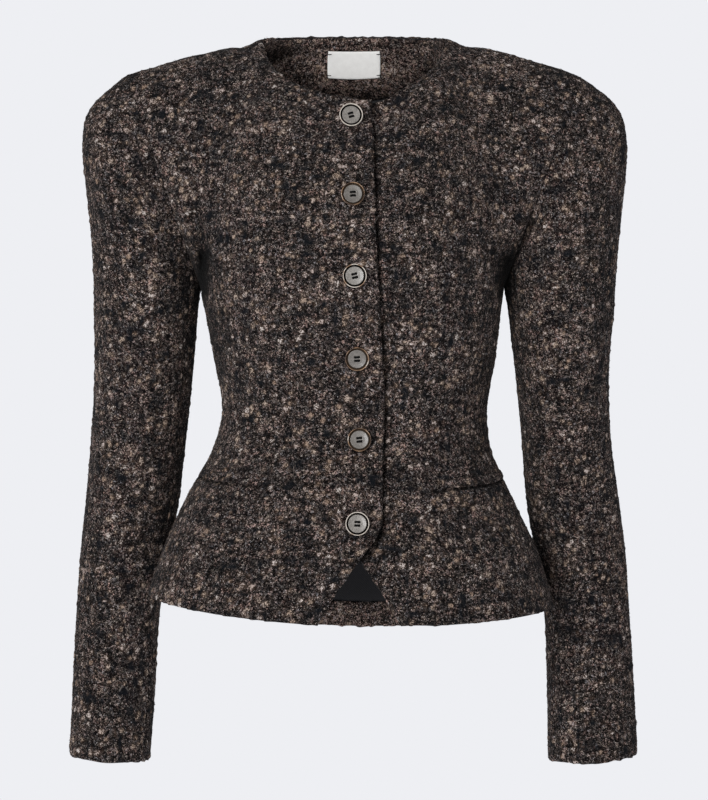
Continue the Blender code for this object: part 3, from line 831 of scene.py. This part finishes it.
def pocket_levels(side, shares):
    """The levels of a pocket's mouth, which falls a little towards the middle."""
    pocket = POCKETS[side.name]
    return level_at(FRONT, pocket.height) + pocket.slope * (shares - POCKET_OUTER)


def pocket_slit(side, cloth, levels, shares):
    """Depth of the slit under a pocket's lip as a share of the deepest crease, pressed in and painted as
    shade.
    """
    to_mouth = levels[:, None] - pocket_levels(side, shares)
    below = (to_mouth * np.gradient(cloth.along, levels, axis=0) + SLIT_BELOW) / SLIT_HALF_HEIGHT
    return np.exp(-(below**2)) * eased(*SLIT_INNER_FADE, shares)


# Yarn


def smooth_noise(places, seed):
    """Soft noise from 0 to 1 in space, with lumps about one unit across."""
    table = np.random.default_rng(seed).random((NOISE_CELLS,) * 3)
    cell = np.floor(places).astype(int)
    share = eased(0, 1, places - cell)
    total = np.zeros(places.shape[:-1])
    for corner in itertools.product((0, 1), repeat=3):
        weight = np.prod(np.where(corner, share, 1 - share), axis=-1)
        total += weight * table[tuple(np.moveaxis((cell + corner) % NOISE_CELLS, -1, 0))]
    return total


def knots(places, seed):
    """Distance to the nearest of points scattered one to a unit cube, and that point's own numbers."""
    table = np.random.default_rng(seed).random((NOISE_CELLS,) * 3 + (6,))
    cell = np.floor(places).astype(int)
    nearest = np.full(places.shape[:-1], np.inf)
    own = np.zeros(places.shape)
    for step in itertools.product((-1, 0, 1), repeat=3):
        numbers = table[tuple(np.moveaxis((cell + step) % NOISE_CELLS, -1, 0))]
        far = np.linalg.norm(cell + step + numbers[..., :3] - places, axis=-1)
        nearer = far < nearest
        nearest = np.where(nearer, far, nearest)
        own = np.where(nearer[..., None], numbers[..., 3:], own)
    return nearest, own


def boucle_yarn(cloth, seed):
    """Height of the yarn's lumps and nubs in metres, and its tone, nub strength and nub tint."""
    warp = smooth_noise(cloth.points / WARP_LUMP, seed)
    weft = smooth_noise(cloth.points / WEFT_LUMP, seed + 1)
    patch = smooth_noise(cloth.points / PATCH_LUMP, seed + 2)
    tone = 0.5 + BLOCK_TONE * (warp - 0.5) + BLOCK_TONE * (weft - 0.5) + PATCH_TONE * (patch - 0.5)
    far, own = knots(cloth.points / NUB_SIZE, seed + 3)
    often = NUB_SHARE * (NUB_SPARSE + NUB_CROWD * eased(*NUB_PATCH, patch))
    size = NUB_LEAST + NUB_SPREAD * own[..., 1]
    nub = (own[..., 0] > 1 - often) * (1 - eased(*NUB_FADE, far / size))
    lump_far, lump_own = knots(cloth.points / LUMP_SIZE, seed + 4)
    lump = (1 - lump_far**2) * (0.5 + 0.5 * lump_own[..., 0])
    fine = smooth_noise(cloth.points / FINE_LUMP, seed + 5)
    height = LUMP_HEIGHT * (lump - LUMP_MIDDLE + FINE_SHARE * (fine - 0.5)) + NUB_HEIGHT * nub
    return height, np.stack((tone, nub, own[..., 2]), axis=-1)


def shaded(yarn, dark):
    """The yarn with how much light it gets, which is less in the bottom of a crease."""
    light = np.exp(-CREASE_SHADE * dark)
    return np.concatenate((yarn, light[..., None]), axis=-1)


# Meshes


def grid_faces(index, turned):
    """Quads of a grid of indices."""
    quads = np.stack((index[:-1, :-1], index[:-1, 1:], index[1:, 1:], index[1:, :-1]), axis=-1)
    quads = quads.reshape(-1, 4)
    return (quads[:, ::-1] if turned else quads).tolist()


def tube_faces(rings, sides):
    """Quads round a tube of rings of points."""
    index = np.arange(rings * sides).reshape(rings, sides)
    after = np.roll(index, -1, axis=1)
    return np.stack((index[:-1], index[1:], after[1:], after[:-1]), axis=-1).reshape(-1, 4).tolist()


def rim_lines(index):
    """The four sides of a grid of indices, in one direction all round."""
    return (index[0, ::-1], index[:, 0], index[-1], index[::-1, -1])


def rim_faces(outer, inner, turned):
    """Many-sided faces all round, between the sides of a fine grid of indices and those of a coarse one."""
    faces = []
    for fine, plain in zip(rim_lines(outer), rim_lines(inner)):
        for i in range(len(plain) - 1):
            face = [*fine[COARSE * i : COARSE * (i + 1) + 1].tolist(), int(plain[i + 1]), int(plain[i])]
            faces.append(face[::-1] if turned else face)
    return faces


def object_of(name, points, faces, materials):
    mesh = bpy.data.meshes.new(name)
    mesh.from_pydata(points.tolist(), [], faces)
    for made in materials:
        mesh.materials.append(made)
    mesh.shade_smooth()
    mesh.update()
    made = bpy.data.objects.new(name, mesh)
    bpy.context.scene.collection.objects.link(made)
    return made


def set_vectors(mesh, name, values):
    """A vector for each point, for the materials to read."""
    mesh.attributes.new(name, "FLOAT_VECTOR", "POINT").data.foreach_set("vector", values.ravel())


def set_numbers(mesh, name, values):
    """A number for each point, for the materials to read."""
    mesh.attributes.new(name, "FLOAT", "POINT").data.foreach_set("value", np.ascontiguousarray(values))


def rounded_edges(points, normals, depth, rolls):
    """Turns the cloth's edges in, so that they end in a soft roll."""
    turned_in = normals * depth[..., None]
    for line, share in enumerate(EDGE_LINES):
        last = -1 - line
        points[line] -= turned_in[line] * share * rolls.first_row
        points[last] -= turned_in[last] * share * rolls.last_row
        points[:, line] -= turned_in[:, line] * share * rolls.first_column
        points[:, last] -= turned_in[:, last] * share * rolls.last_column


def uneven_edges(points, rolls):
    """Shifts each free edge in and out a little along the cloth, as yarn loops do."""
    reach = EDGE_LUMP_REACH * (2 * smooth_noise(points / EDGE_LUMP, EDGE_SEED) - 1)[..., None]
    lines = (
        (rolls.first_row, np.s_[0], np.s_[1]),
        (rolls.last_row, np.s_[-1], np.s_[-2]),
        (rolls.first_column, np.s_[:, 0], np.s_[:, 1]),
        (rolls.last_column, np.s_[:, -1], np.s_[:, -2]),
    )
    for roll, edge, beside in lines:
        if roll == 1:
            points[edge] += reach[edge] * unit(points[edge] - points[beside])


def add_cloth(name, cloth, height, yarn, wall, materials, inside_slot, rolls=ALL_ROUND):
    """A closed shell: fine yarn outside, a plain coarse inside and many-sided faces round the rim."""
    rows, columns = cloth.points.shape[:2]
    wall = np.broadcast_to(wall, (rows, columns))
    outer = cloth.points + cloth.normals * height[..., None]
    if yarn.any():
        uneven_edges(outer, rolls)
    rounded_edges(outer, cloth.normals, np.minimum(EDGE_ROUND, EDGE_WALL_SHARE * wall), rolls)
    coarse = np.s_[::COARSE, ::COARSE]
    inner = (cloth.points - cloth.normals * wall[..., None])[coarse]
    outer_index = np.arange(rows * columns).reshape(rows, columns)
    inner_index = outer_index.size + np.arange(inner[..., 0].size).reshape(inner.shape[:2])
    step_along = cloth.points[1, 0] - cloth.points[0, 0]
    step_across = cloth.points[0, 1] - cloth.points[0, 0]
    turned = np.dot(np.cross(step_across, step_along), cloth.normals[0, 0]) < 0
    outside = grid_faces(outer_index, turned)
    inside = grid_faces(inner_index, not turned)
    faces = outside + inside + rim_faces(outer_index, inner_index, turned)
    made = object_of(name, np.concatenate((outer.reshape(-1, 3), inner.reshape(-1, 3))), faces, materials)
    slots = np.zeros(len(faces), np.int32)
    slots[len(outside) : len(outside) + len(inside)] = inside_slot
    made.data.polygons.foreach_set("material_index", slots)
    place = np.stack((cloth.across, cloth.along, 0 * cloth.along), axis=-1)
    set_vectors(made.data, "cloth", np.concatenate((place.reshape(-1, 3), place[coarse].reshape(-1, 3))))
    yarn = np.concatenate((yarn.reshape(-1, 4), yarn[coarse].reshape(-1, 4)))
    set_vectors(made.data, "yarn", np.ascontiguousarray(yarn[:, :3]))
    set_numbers(made.data, "light", yarn[:, 3])
    return made


def curls(cloth, height, dark, seed):
    """Points, faces and tints of short curls of yarn that stand a little off a piece's outside."""
    random = np.random.default_rng(seed)
    rows, columns = height.shape
    count = round(CURLS * flat_area(cloth))
    i = random.integers(1, rows - 1, count)
    j = random.integers(1, columns - 1, count)
    in_light = dark[i, j] < CURL_DARKEST
    i, j = i[in_light], j[in_light]
    count = len(i)
    normal = cloth.normals[i, j]
    right = unit(cloth.points[i, j] - cloth.points[i, j - 1])
    turn = random.uniform(0, 2 * math.pi, (count, 1))
    way = np.cos(turn) * right + np.sin(turn) * np.cross(normal, right)
    side = np.cross(normal, way)
    length = random.uniform(*CURL_LENGTH, (count, 1, 1))
    rise = random.uniform(*CURL_RISE, (count, 1, 1))
    bend = random.uniform(-CURL_BEND, CURL_BEND, (count, 1, 1))
    t = np.linspace(-1, 1, CURL_POINTS)[:, None]
    arch = 1 - t**2
    base = cloth.points[i, j] + normal * height[i, j][:, None]
    middle = base[:, None] + way[:, None] * length * 0.5 * t + side[:, None] * length * bend * arch
    middle += normal[:, None] * rise * arch
    half = side[:, None] * CURL_HALF_WIDTH * (0.5 + 0.5 * arch)
    points = np.stack((middle - half, middle + half), axis=2)
    index = np.arange(count * CURL_POINTS * 2).reshape(count, CURL_POINTS, 2)
    quads = np.stack((index[:, :-1, 0], index[:, 1:, 0], index[:, 1:, 1], index[:, :-1, 1]), axis=-1)
    tints = np.repeat(random.random((count, 3)), CURL_POINTS * 2, axis=0)
    return points.reshape(-1, 3), quads.reshape(-1, 4).tolist(), tints


def thread(path, facing, radius):
    """Points and faces of a round thread along a path, closed at both ends."""
    ways = np.gradient(path, axis=0)
    across = unit(np.cross(ways, facing))
    up = unit(np.cross(across, ways))
    turns = np.linspace(0, 2 * math.pi, THREAD_SIDES, endpoint=False)[:, None]
    rings = path[:, None] + radius * (np.cos(turns) * across[:, None] + np.sin(turns) * up[:, None])
    index = np.arange(len(path) * THREAD_SIDES)
    ends = [index[:THREAD_SIDES].tolist(), index[-THREAD_SIDES:][::-1].tolist()]
    return rings.reshape(-1, 3), tube_faces(len(path), THREAD_SIDES) + ends


def joined(parts):
    """One set of points and faces from several."""
    points, faces, start = [], [], 0
    for own_points, own_faces in parts:
        points.append(own_points)
        faces += [[start + i for i in face] for face in own_faces]
        start += len(own_points)
    return np.concatenate(points), faces


def button_rings():
    """Radius and height round the button's outline, evenly spaced along it, and which rings are in front."""
    corners = np.array(BUTTON_OUTLINE) * (BUTTON_RADIUS, BUTTON_THICK)
    run = lengths_along(corners, 0)
    even = np.linspace(0, run[-1], BUTTON_RINGS)
    in_front = np.arange(BUTTON_RINGS) < BUTTON_RINGS // 2
    return np.interp(even, run, corners[:, 0]), np.interp(even, run, corners[:, 1]), in_front


def groove_faces():
    """For each face of a button, whether it lies in the groove of its front."""
    radius, _, in_front = button_rings()
    first, last = np.array(GROOVE_SPAN) * BUTTON_RADIUS
    in_groove = in_front & (radius > first) & (radius < last)
    return np.repeat(in_groove[:-1], BUTTON_SEGMENTS)


def button_mesh():
    """Points and faces of a turned button with four thread holes, its face towards +Z."""
    radius, height, in_front = button_rings()
    turns = np.linspace(0, 2 * math.pi, BUTTON_SEGMENTS, endpoint=False)
    x = radius[:, None] * np.cos(turns)
    y = radius[:, None] * np.sin(turns)
    to_hole = np.hypot(np.abs(x) - HOLE_ACROSS, np.abs(y) - HOLE_UP) / HOLE_RADIUS
    z = height[:, None] - HOLE_DEPTH * in_front[:, None] * (1 - eased(*HOLE_SIDE, to_hole))
    return np.stack((x, y, z), axis=-1).reshape(-1, 3), tube_faces(BUTTON_RINGS, BUTTON_SEGMENTS)


def button_threads():
    """Two bars of sewing thread across the face, each of a few strands side by side."""
    face = BUTTON_OUTLINE[0][1] * BUTTON_THICK
    t = np.linspace(0, 1, THREAD_POINTS)
    rise = face - THREAD_RADIUS + THREAD_RISE * np.sin(math.pi * t) ** 0.5
    strands = []
    for bar, strand in itertools.product((-1, 1), range(THREAD_STRANDS)):
        up = bar * HOLE_UP + (strand - (THREAD_STRANDS - 1) / 2) * THREAD_APART * THREAD_RADIUS
        path = np.stack((THREAD_HALF_LENGTH * (2 * t - 1), 0 * t + up, rise), axis=-1)
        strands.append(thread(path, (0, 0, 1), THREAD_RADIUS))
    return joined(strands)


def button_place(button, degrees):
    """Where a button hangs: its turned axes as rows, and the middle of its back."""
    level = level_at(FRONT, button.height)
    share = share_at(FRONT, level, button.across)
    around = STEP * np.array((-1, 0, 1))
    patch = torso(FRONT, share + around, level + around[:, None])
    normal = normals_of(patch, patch * (0, 0, 1))[1, 1]
    facing = unit(normal * (1, 1, BUTTON_UPRIGHT))
    lift = BUTTON_GAP + BUTTON_RADIUS * np.linalg.norm(np.cross(normal, facing))
    axes = np.array(Vector(facing).to_track_quat("Z", "Y").to_matrix()).T
    turn = math.radians(degrees)
    right = math.cos(turn) * axes[0] + math.sin(turn) * axes[1]
    return np.array((right, np.cross(facing, right), facing)), patch[1, 1] + normal * lift


# Materials


class Shading:
    """A node tree, with short ways to add to it. An input is a value or another node's output."""

    def __init__(self, tree):
        self.tree = tree

    def node(self, kind, inputs=(), **settings):
        made = self.tree.nodes.new(f"ShaderNode{kind}")
        for name, value in settings.items():
            setattr(made, name, value)
        for socket, value in dict(inputs).items():
            if isinstance(value, bpy.types.NodeSocket):
                self.tree.links.new(value, made.inputs[socket])
            else:
                made.inputs[socket].default_value = value
        return made

    def place(self):
        """Each point's place on the object."""
        return self.node("TexCoord").outputs["Object"]

    def attribute(self, name, output="Vector"):
        """What a mesh holds for each point under this name."""
        return self.node("Attribute", attribute_name=name).outputs[output]

    def split(self, vector):
        return self.node("SeparateXYZ", {0: vector}).outputs

    def maths(self, operation, *values, clamp=False):
        return self.node("Math", dict(enumerate(values)), operation=operation, use_clamp=clamp).outputs[0]

    def product(self, first, second):
        return self.maths("MULTIPLY", first, second)

    def plus(self, start, value, slope, clamp=False):
        """The start and the value times its slope."""
        return self.maths("MULTIPLY_ADD", value, slope, start, clamp=clamp)

    def share(self, value, share):
        """The share of a colour that a pattern's value stands for, from 0 to 1."""
        return self.plus(share.start, value, share.slope, clamp=True)

    def ramp(self, value, stops):
        """A colour read along stops of (place, colour)."""
        made = self.node("ValToRGB", {"Fac": value})
        elements = made.color_ramp.elements
        while len(elements) < len(stops):
            elements.new(1.0)
        for element, (place, colour) in zip(elements, stops):
            element.position = place
            element.color = (*colour, 1)
        return made.outputs["Color"]

    def mixed(self, share, first, second, blend="MIX"):
        """Two colours mixed, by the node's sockets for colours, which are 6 and 7."""
        inputs = {"Factor": share, 6: first, 7: second}
        return self.node("Mix", inputs, data_type="RGBA", blend_type=blend).outputs[2]

    def times(self, first, second):
        """Two colours multiplied."""
        return self.mixed(1.0, first, second, "MULTIPLY")

    def noise(self, place, scale, detail=2.0, distortion=0.0, output="Fac"):
        inputs = {"Vector": place, "Scale": scale, "Detail": detail, "Distortion": distortion}
        return self.node("TexNoise", inputs).outputs[output]

    def wave(self, place, scale, distortion, direction):
        inputs = {"Vector": place, "Scale": scale, "Distortion": distortion}
        return self.node("TexWave", inputs, bands_direction=direction).outputs["Fac"]

    def cells(self, place, scale):
        """Uneven cells: three random numbers for each, and the distance from its middle."""
        made = self.node("TexVoronoi", {"Vector": place, "Scale": scale})
        numbers = self.node("SeparateColor", {0: made.outputs["Color"]}).outputs
        return numbers, made.outputs["Distance"]

    def shaken(self, place, scale, distance):
        """Places moved about at random, so that patterns read there lose their straight lines."""
        cloud = self.noise(place, scale, 1.0, output="Color")
        middle = self.node("VectorMath", {0: cloud, 1: (0.5, 0.5, 0.5)}, operation="SUBTRACT")
        inputs = {0: middle.outputs[0], 1: (distance, distance, distance), 2: place}
        return self.node("VectorMath", inputs, operation="MULTIPLY_ADD").outputs[0]

    def paint(self, colour):
        self.tree.links.new(colour, self.tree.nodes["Principled BSDF"].inputs["Base Color"])

    def emboss(self, height, strength, distance):
        bump = self.node("Bump", {"Strength": strength, "Distance": distance, "Height": height})
        self.tree.links.new(bump.outputs[0], self.tree.nodes["Principled BSDF"].inputs["Normal"])


def new_material(name, roughness, **sockets):
    """A material with values that are the same all over, and its shading."""
    made = bpy.data.materials.new(name)
    made.use_nodes = True
    shader = made.node_tree.nodes["Principled BSDF"]
    shader.inputs["Roughness"].default_value = roughness
    for socket, value in sockets.items():
        shader.inputs[socket.replace("_", " ")].default_value = value
    return made, Shading(made.node_tree)


def boucle_material():
    """Near-black tweed with taupe yarn, tan and cream nubs and fine pale fibres."""
    made, shading = new_material("boucle", roughness=1.0, **YARN_GLOSS)
    place = shading.place()
    tone, nub, tint = shading.split(shading.attribute("yarn"))
    shaken = shading.shaken(place, SHAKE_SCALE, SHAKE_DISTANCE)
    (knot, knot_hue, knot_dye), knot_far = shading.cells(shaken, KNOT_SCALE)
    speck = shading.cells(shaken, SPECK_SCALE)[0][0]
    fibre = shading.noise(place, FIBRE_SCALE, distortion=0.6)
    bright = shading.plus(GROUND.start, tone, GROUND.tone)
    bright = shading.plus(bright, knot, GROUND.knot)
    bright = shading.plus(bright, speck, GROUND.speck)
    bright = shading.plus(bright, fibre, GROUND.fibre)
    warmth = shading.plus(shading.maths("ADD", tone, -KNOT_WARMTH / 2), knot_hue, KNOT_WARMTH)
    ground = shading.times(shading.ramp(bright, GROUND_COLOURS), shading.ramp(warmth, HUES))
    ground = shading.times(ground, shading.ramp(knot_dye, YARN_HUES))
    dark = shading.product(shading.share(tone, DARK_TONES), DARK_STRENGTH)
    ground = shading.mixed(dark, ground, DARK_BLOCK)
    colour = shading.mixed(shading.product(nub, shading.share(fibre, FRINGE_FIBRES)), ground, NUB_FRINGE)
    specks = shading.plus(CORE_SPECKS.start, speck, CORE_SPECKS.slope)
    core = shading.plus(specks, nub, CORE_NUBS, clamp=True)
    core = shading.product(core, shading.share(fibre, CORE_FIBRES))
    colour = shading.mixed(core, colour, shading.ramp(tint, NUB_COLOURS))
    wander = shading.noise(place, STRAND_SCALE, distortion=3.0)
    ridge = shading.maths("ABSOLUTE", shading.maths("ADD", wander, -0.5))
    strand = shading.product(shading.share(ridge, STRAND_RIDGES), shading.share(knot, STRAND_KNOTS))
    strand = shading.product(strand, shading.share(tone, STRAND_TONES))
    colour = shading.mixed(strand, colour, PALE_FIBRE)
    # Painted shade: the colour times the light each point gets, less in folds and creases
    shading.paint(shading.times(colour, shading.attribute("light", "Fac")))
    relief = shading.plus(shading.product(fibre, FIBRE_RELIEF), knot_far, KNOT_RELIEF)
    shading.emboss(relief, strength=0.9, distance=0.0006)
    return made


def curl_material():
    """Single curls of yarn, from black through taupe to cream."""
    made, shading = new_material("boucle_curls", roughness=1.0, **YARN_GLOSS)
    tint = shading.split(shading.attribute("yarn"))[0]
    fibre = shading.noise(shading.place(), scale=1800.0)
    tint = shading.plus(shading.maths("ADD", tint, -CURL_FIBRES / 2), fibre, CURL_FIBRES)
    shading.paint(shading.ramp(tint, CURL_COLOURS))
    shading.emboss(fibre, strength=0.5, distance=0.0003)
    return made


def lining_material():
    """Smooth black lining with a fine twill."""
    made, shading = new_material("lining", roughness=0.65, Specular_IOR_Level=0.18)
    twill = shading.wave(shading.attribute("cloth"), scale=260.0, distortion=0.6, direction="DIAGONAL")
    shading.paint(shading.ramp(twill, LINING_COLOURS))
    shading.emboss(twill, strength=0.2, distance=0.0002)
    return made


def label_material():
    """Off-white woven tape with fine threads both ways."""
    made, shading = new_material("label", roughness=0.6, Sheen_Weight=0.1, Specular_IOR_Level=0.3)
    place = shading.attribute("cloth")
    across = shading.wave(place, scale=420.0, distortion=0.8, direction="Y")
    along = shading.wave(place, scale=560.0, distortion=0.8, direction="X")
    weave = shading.product(across, along)
    cloud = shading.product(shading.noise(place, scale=160.0, detail=3.0), LABEL_CLOUD)
    shading.paint(shading.ramp(shading.plus(cloud, weave, LABEL_WEAVE), LABEL_COLOURS))
    shading.emboss(weave, strength=0.35, distance=0.0002)
    return made


def thread_material():
    """Black sewing thread with a fine twist."""
    made, shading = new_material("thread", roughness=0.85, Specular_IOR_Level=0.06)
    twist = shading.noise(shading.place(), scale=2600.0, detail=1.0)
    shading.paint(shading.ramp(twist, THREAD_COLOURS))
    shading.emboss(twist, strength=0.5, distance=0.0002)
    return made


def horn_material():
    """Pale grey horn: a face with fine rays and a rim that is tan in places."""
    made, shading = new_material("horn", roughness=0.34, Specular_IOR_Level=0.5, Coat_Weight=0.15)
    place = shading.attribute("place")
    age = shading.attribute("age", "Fac")
    x, y, number = shading.split(place)
    radius = shading.maths("SQRT", shading.plus(shading.product(y, y), x, x))
    turn = shading.maths("ABSOLUTE", shading.maths("ARCTAN2", y, x))
    upper = shading.maths("GREATER_THAN", y, 0.0)
    half = shading.plus(shading.product(number, BUTTONS_APART), upper, HALVES_APART)
    rays_at = shading.node("CombineXYZ", {0: shading.product(turn, RAYS), 1: radius, 2: half}).outputs[0]
    rays = shading.noise(rays_at, scale=3.4, detail=4.0, distortion=0.3)
    grain = shading.plus(GRAIN.start, shading.noise(place, scale=14.0), GRAIN.specks)
    grain = shading.plus(grain, shading.noise(place, scale=2.3), GRAIN.cloud)
    grain = shading.plus(grain, rays, GRAIN.rays, clamp=True)
    face = shading.mixed(grain, FACE_DARK, FACE_PALE)
    face = shading.mixed(shading.plus(FACE_AGES.start, age, FACE_AGES.slope), face, FACE_AGED)
    patch = shading.plus(RIM_AGES.start, age, RIM_AGES.slope)
    patch = shading.plus(patch, shading.noise(place, scale=1.1, detail=1.0), RIM_PATCHES)
    shading.paint(shading.mixed(shading.share(radius, RIM_RADII), face, shading.ramp(patch, RIM_COLOURS)))
    shading.emboss(rays, strength=0.12, distance=0.0003)
    return made


def groove_material():
    """The matt bottom of a button's groove, black when new and browner with age."""
    made, shading = new_material("horn_groove", roughness=1.0, Specular_IOR_Level=0.05)
    shading.paint(shading.mixed(shading.attribute("age", "Fac"), GROOVE, GROOVE_AGED))
    return made


# Pieces

Looks = namedtuple("Looks", "boucle lining curl")


def finished(made, slot, *nodes):
    """Fixes a piece to the jacket's one body, in place of its solid."""
    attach(made, "root")
    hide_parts(*nodes)
    return made


def add_curls(name, cloth, height, dark, seed, material):
    """Loose curls of yarn all over one piece, but for its creases."""
    points, faces, tints = curls(cloth, height, dark, seed)
    made = object_of(f"curls_{name}", points, faces, [material])
    set_vectors(made.data, "yarn", tints)
    return finished(made, "boucle")


def add_welt(side, boucle):
    """The lip of a pocket, sewn to its front."""
    cloth, wall = welt_cloth(side)
    height, yarn = boucle_yarn(cloth, WELT_SEED + side.sign)
    name = f"pocket_welt_{side.name}"
    made = add_cloth(f"cloth_{name}", cloth, WELT_YARN * height, shaded(yarn, 0 * height), wall, [boucle], 0)
    return finished(made, "boucle", name)


def add_outer_piece(kind, side, cloth, rolls, looks, under=0, crease=0):
    """A folded piece of boucle with a black inside, its loose curls, and the pocket welt that a front has."""
    name = f"{kind}_{side.name}" if side else kind
    sign = side.sign if side else 0
    # Painted shade: the folds' dark and the creases lower the light painted into the yarn's colour
    cloth, dark = folded(cloth)
    dark = np.maximum(dark, crease)
    height, yarn = boucle_yarn(cloth, SEEDS[kind].yarn + sign)
    height = height * (1 - UNDER_FLAT * under) - CREASE_DEPTH * np.minimum(crease, 1)
    materials = (looks.boucle, looks.lining)
    made = add_cloth(f"cloth_{name}", cloth, height, shaded(yarn, dark), WALL, materials, 1, rolls)
    extras = [add_welt(side, looks.boucle)] if kind == "front" else []
    extras.append(add_curls(name, cloth, height, dark, SEEDS[kind].curls + sign, looks.curl))
    finished(made, "boucle", name)


def add_outer_pieces(looks):
    """Fronts, back and sleeves."""
    for side in (RIGHT, LEFT):
        cloth, under, crease = front_cloth(side)
        add_outer_piece("front", side, cloth, FRONT_ROLLS, looks, under, crease)
    cloth = back_cloth(0, 2, 1, BACK_SPACING)
    add_outer_piece("back", None, cloth, BACK_ROLLS, looks)
    for side in (RIGHT, LEFT):
        top = sleeve_cloth(side, FRONT_SEAM_TURN, BACK_SEAM_TURN)
        add_outer_piece("sleeve_top", side, top, SLEEVE_ROLLS, looks)
        under = sleeve_cloth(side, BACK_SEAM_TURN - 1, FRONT_SEAM_TURN)
        add_outer_piece("sleeve_under", side, under, SLEEVE_ROLLS, looks)


def add_inside_of_back(looks):
    """Neck facing, lining and hem facing, each with its finished side towards the wearer."""
    layers = (
        ("back_neck_facing", NECK_SEAM_LEVEL, 2, FACING_SPAN, WALL, "boucle"),
        ("back_lining", HEM_SEAM_LEVEL, NECK_SEAM_LEVEL, LINING_SPAN, LINING_WALL, "lining"),
        ("back_hem_facing", 0, HEM_SEAM_LEVEL, LINING_SPAN, WALL, "boucle"),
    )
    for seed, (name, first, last, span, wall, slot) in enumerate(layers, INSIDE_SEED):
        spacing = LINING_SPACING if slot == "lining" else SPACING
        cloth = inside_layer(first, last, span, wall, spacing)
        height, yarn = boucle_yarn(cloth, seed)
        # Painted light on the facings' tone, and painted shade along the neck and round the label
        yarn = shaded(yarn + (FACING_PAINTED_LIGHT, 0, 0), folded(cloth, NECK_SHADES)[1])
        if slot == "lining":
            height = LINING_RIPPLE * smooth_noise(cloth.points / LINING_LUMP, seed)
        made = add_cloth(f"cloth_{name}", cloth, height, yarn, wall, [getattr(looks, slot)], 0)
        finished(made, slot, name)


def tack_paths(cloth):
    """A short level stitch over the label's side edge near each of its corners."""
    t = np.linspace(0, 1, TACK_POINTS)[:, None]
    rise = TACK_RADIUS * (2 * np.sqrt(np.sin(math.pi * t)) - 1)
    for row, column in itertools.product((0, -1), repeat=2):
        corner = cloth.points[row, column]
        inward = unit(cloth.points[row, LABEL_COLUMNS // 2] - corner)
        up = unit(cloth.points[LABEL_ROWS // 2, column] - corner)
        start = corner + up * TACK_FROM_EDGE - inward * TACK_RADIUS
        yield start + inward * TACK_LENGTH * t + cloth.normals[row, column] * rise


def add_label(label, black_thread):
    """A blank label, a little bowed, held to the facing by a stitch at each corner."""
    cloth = label_cloth()
    across = np.clip(cloth.across / LABEL_HALF_WIDTH, -1, 1)
    along = np.clip(2 * cloth.along / LABEL_HEIGHT, -1, 1)
    height = LABEL_BOW * (1 - across**4) * (1 - along**2)
    no_yarn = np.zeros((*height.shape, 4))
    made = add_cloth("woven_label", cloth, height, no_yarn, LABEL_WALL, [label], 0)
    finished(made, "label", "label")
    stitches = [thread(path, cloth.normals[0, 0], TACK_RADIUS) for path in tack_paths(cloth)]
    tacks = finished(object_of("label_tacks", *joined(stitches), [black_thread]), "lining")


def add_buttons(horn, groove, black_thread):
    """Six turned buttons, each sewn on with two bars of thread."""
    sewn = []
    looks = zip(BUTTONS, BUTTON_TURNS, BUTTON_AGES)
    for number, (button, degrees, age) in enumerate(looks, 1):
        axes, place = button_place(button, degrees)
        points, faces = button_mesh()
        name = f"button_{number}"
        made = object_of(f"turned_{name}", points @ axes + place, faces, [horn, groove])
        made.data.polygons.foreach_set("material_index", groove_faces().astype(np.int32))
        local = points / BUTTON_RADIUS
        local[:, 2] = number
        set_vectors(made.data, "place", local)
        set_numbers(made.data, "age", np.full(len(points), age))
        finished(made, "horn", name)
        thread_points, thread_faces = button_threads()
        sewn.append((thread_points @ axes + place, thread_faces))
    finished(object_of("button_threads", *joined(sewn), [black_thread]), "lining")


# Camera, lamps and stage


def add_camera():
    data = bpy.data.cameras.new("camera")
    data.sensor_width = SENSOR
    data.lens = -CAMERA[1] / PIXEL_SIZE / FRAME_HEIGHT * SENSOR
    made = bpy.data.objects.new("camera", data)
    made.location = CAMERA
    made.rotation_euler = (math.pi / 2, 0, 0)
    bpy.context.scene.collection.objects.link(made)
    bpy.context.scene.camera = made


def add_lamp(lamp):
    data = bpy.data.lights.new(lamp.name, "AREA")
    data.size = lamp.size
    data.energy = lamp.power
    made = bpy.data.objects.new(lamp.name, data)
    made.location = lamp.place
    aim = Vector(LAMP_TARGET) - Vector(lamp.place)
    made.rotation_euler = aim.to_track_quat("-Z", "Y").to_euler()
    bpy.context.scene.collection.objects.link(made)


def pale_light(tree, kind, output, light):
    """A pale even surface that gives less light than it shows, so that the studio lamps shape the cloth."""
    shading = Shading(tree)
    seen = shading.node("LightPath").outputs["Is Camera Ray"]
    shader = shading.node(kind, {"Color": PALE, "Strength": shading.plus(light, seen, 1 - light)})
    tree.links.new(shader.outputs[0], tree.nodes[output].inputs["Surface"])


def add_stage():
    """A wide pale floor and a pale surround of the same brightness."""
    scene = bpy.context.scene
    scene.view_settings.view_transform = "Standard"
    scene.world = bpy.data.worlds.new("surround")
    scene.world.use_nodes = True
    pale_light(scene.world.node_tree, "Background", "World Output", SURROUND_LIGHT)
    made = bpy.data.materials.new("pale_floor")
    made.use_nodes = True
    pale_light(made.node_tree, "Emission", "Material Output", FLOOR_LIGHT)
    corners = FLOOR_HALF_WIDTH * np.array(((-1, -1, 0), (1, -1, 0), (1, 1, 0), (-1, 1, 0)))
    object_of("floor", corners + (0, 0, FLOOR_HEIGHT), [(0, 1, 2, 3)], [made])


def main():
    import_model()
    looks = Looks(boucle_material(), lining_material(), curl_material())
    black_thread = thread_material()
    add_camera()
    add_stage()
    for lamp in LAMPS:
        add_lamp(lamp)
    add_outer_pieces(looks)
    add_inside_of_back(looks)
    add_label(label_material(), black_thread)
    add_buttons(horn_material(), groove_material(), black_thread)


main()
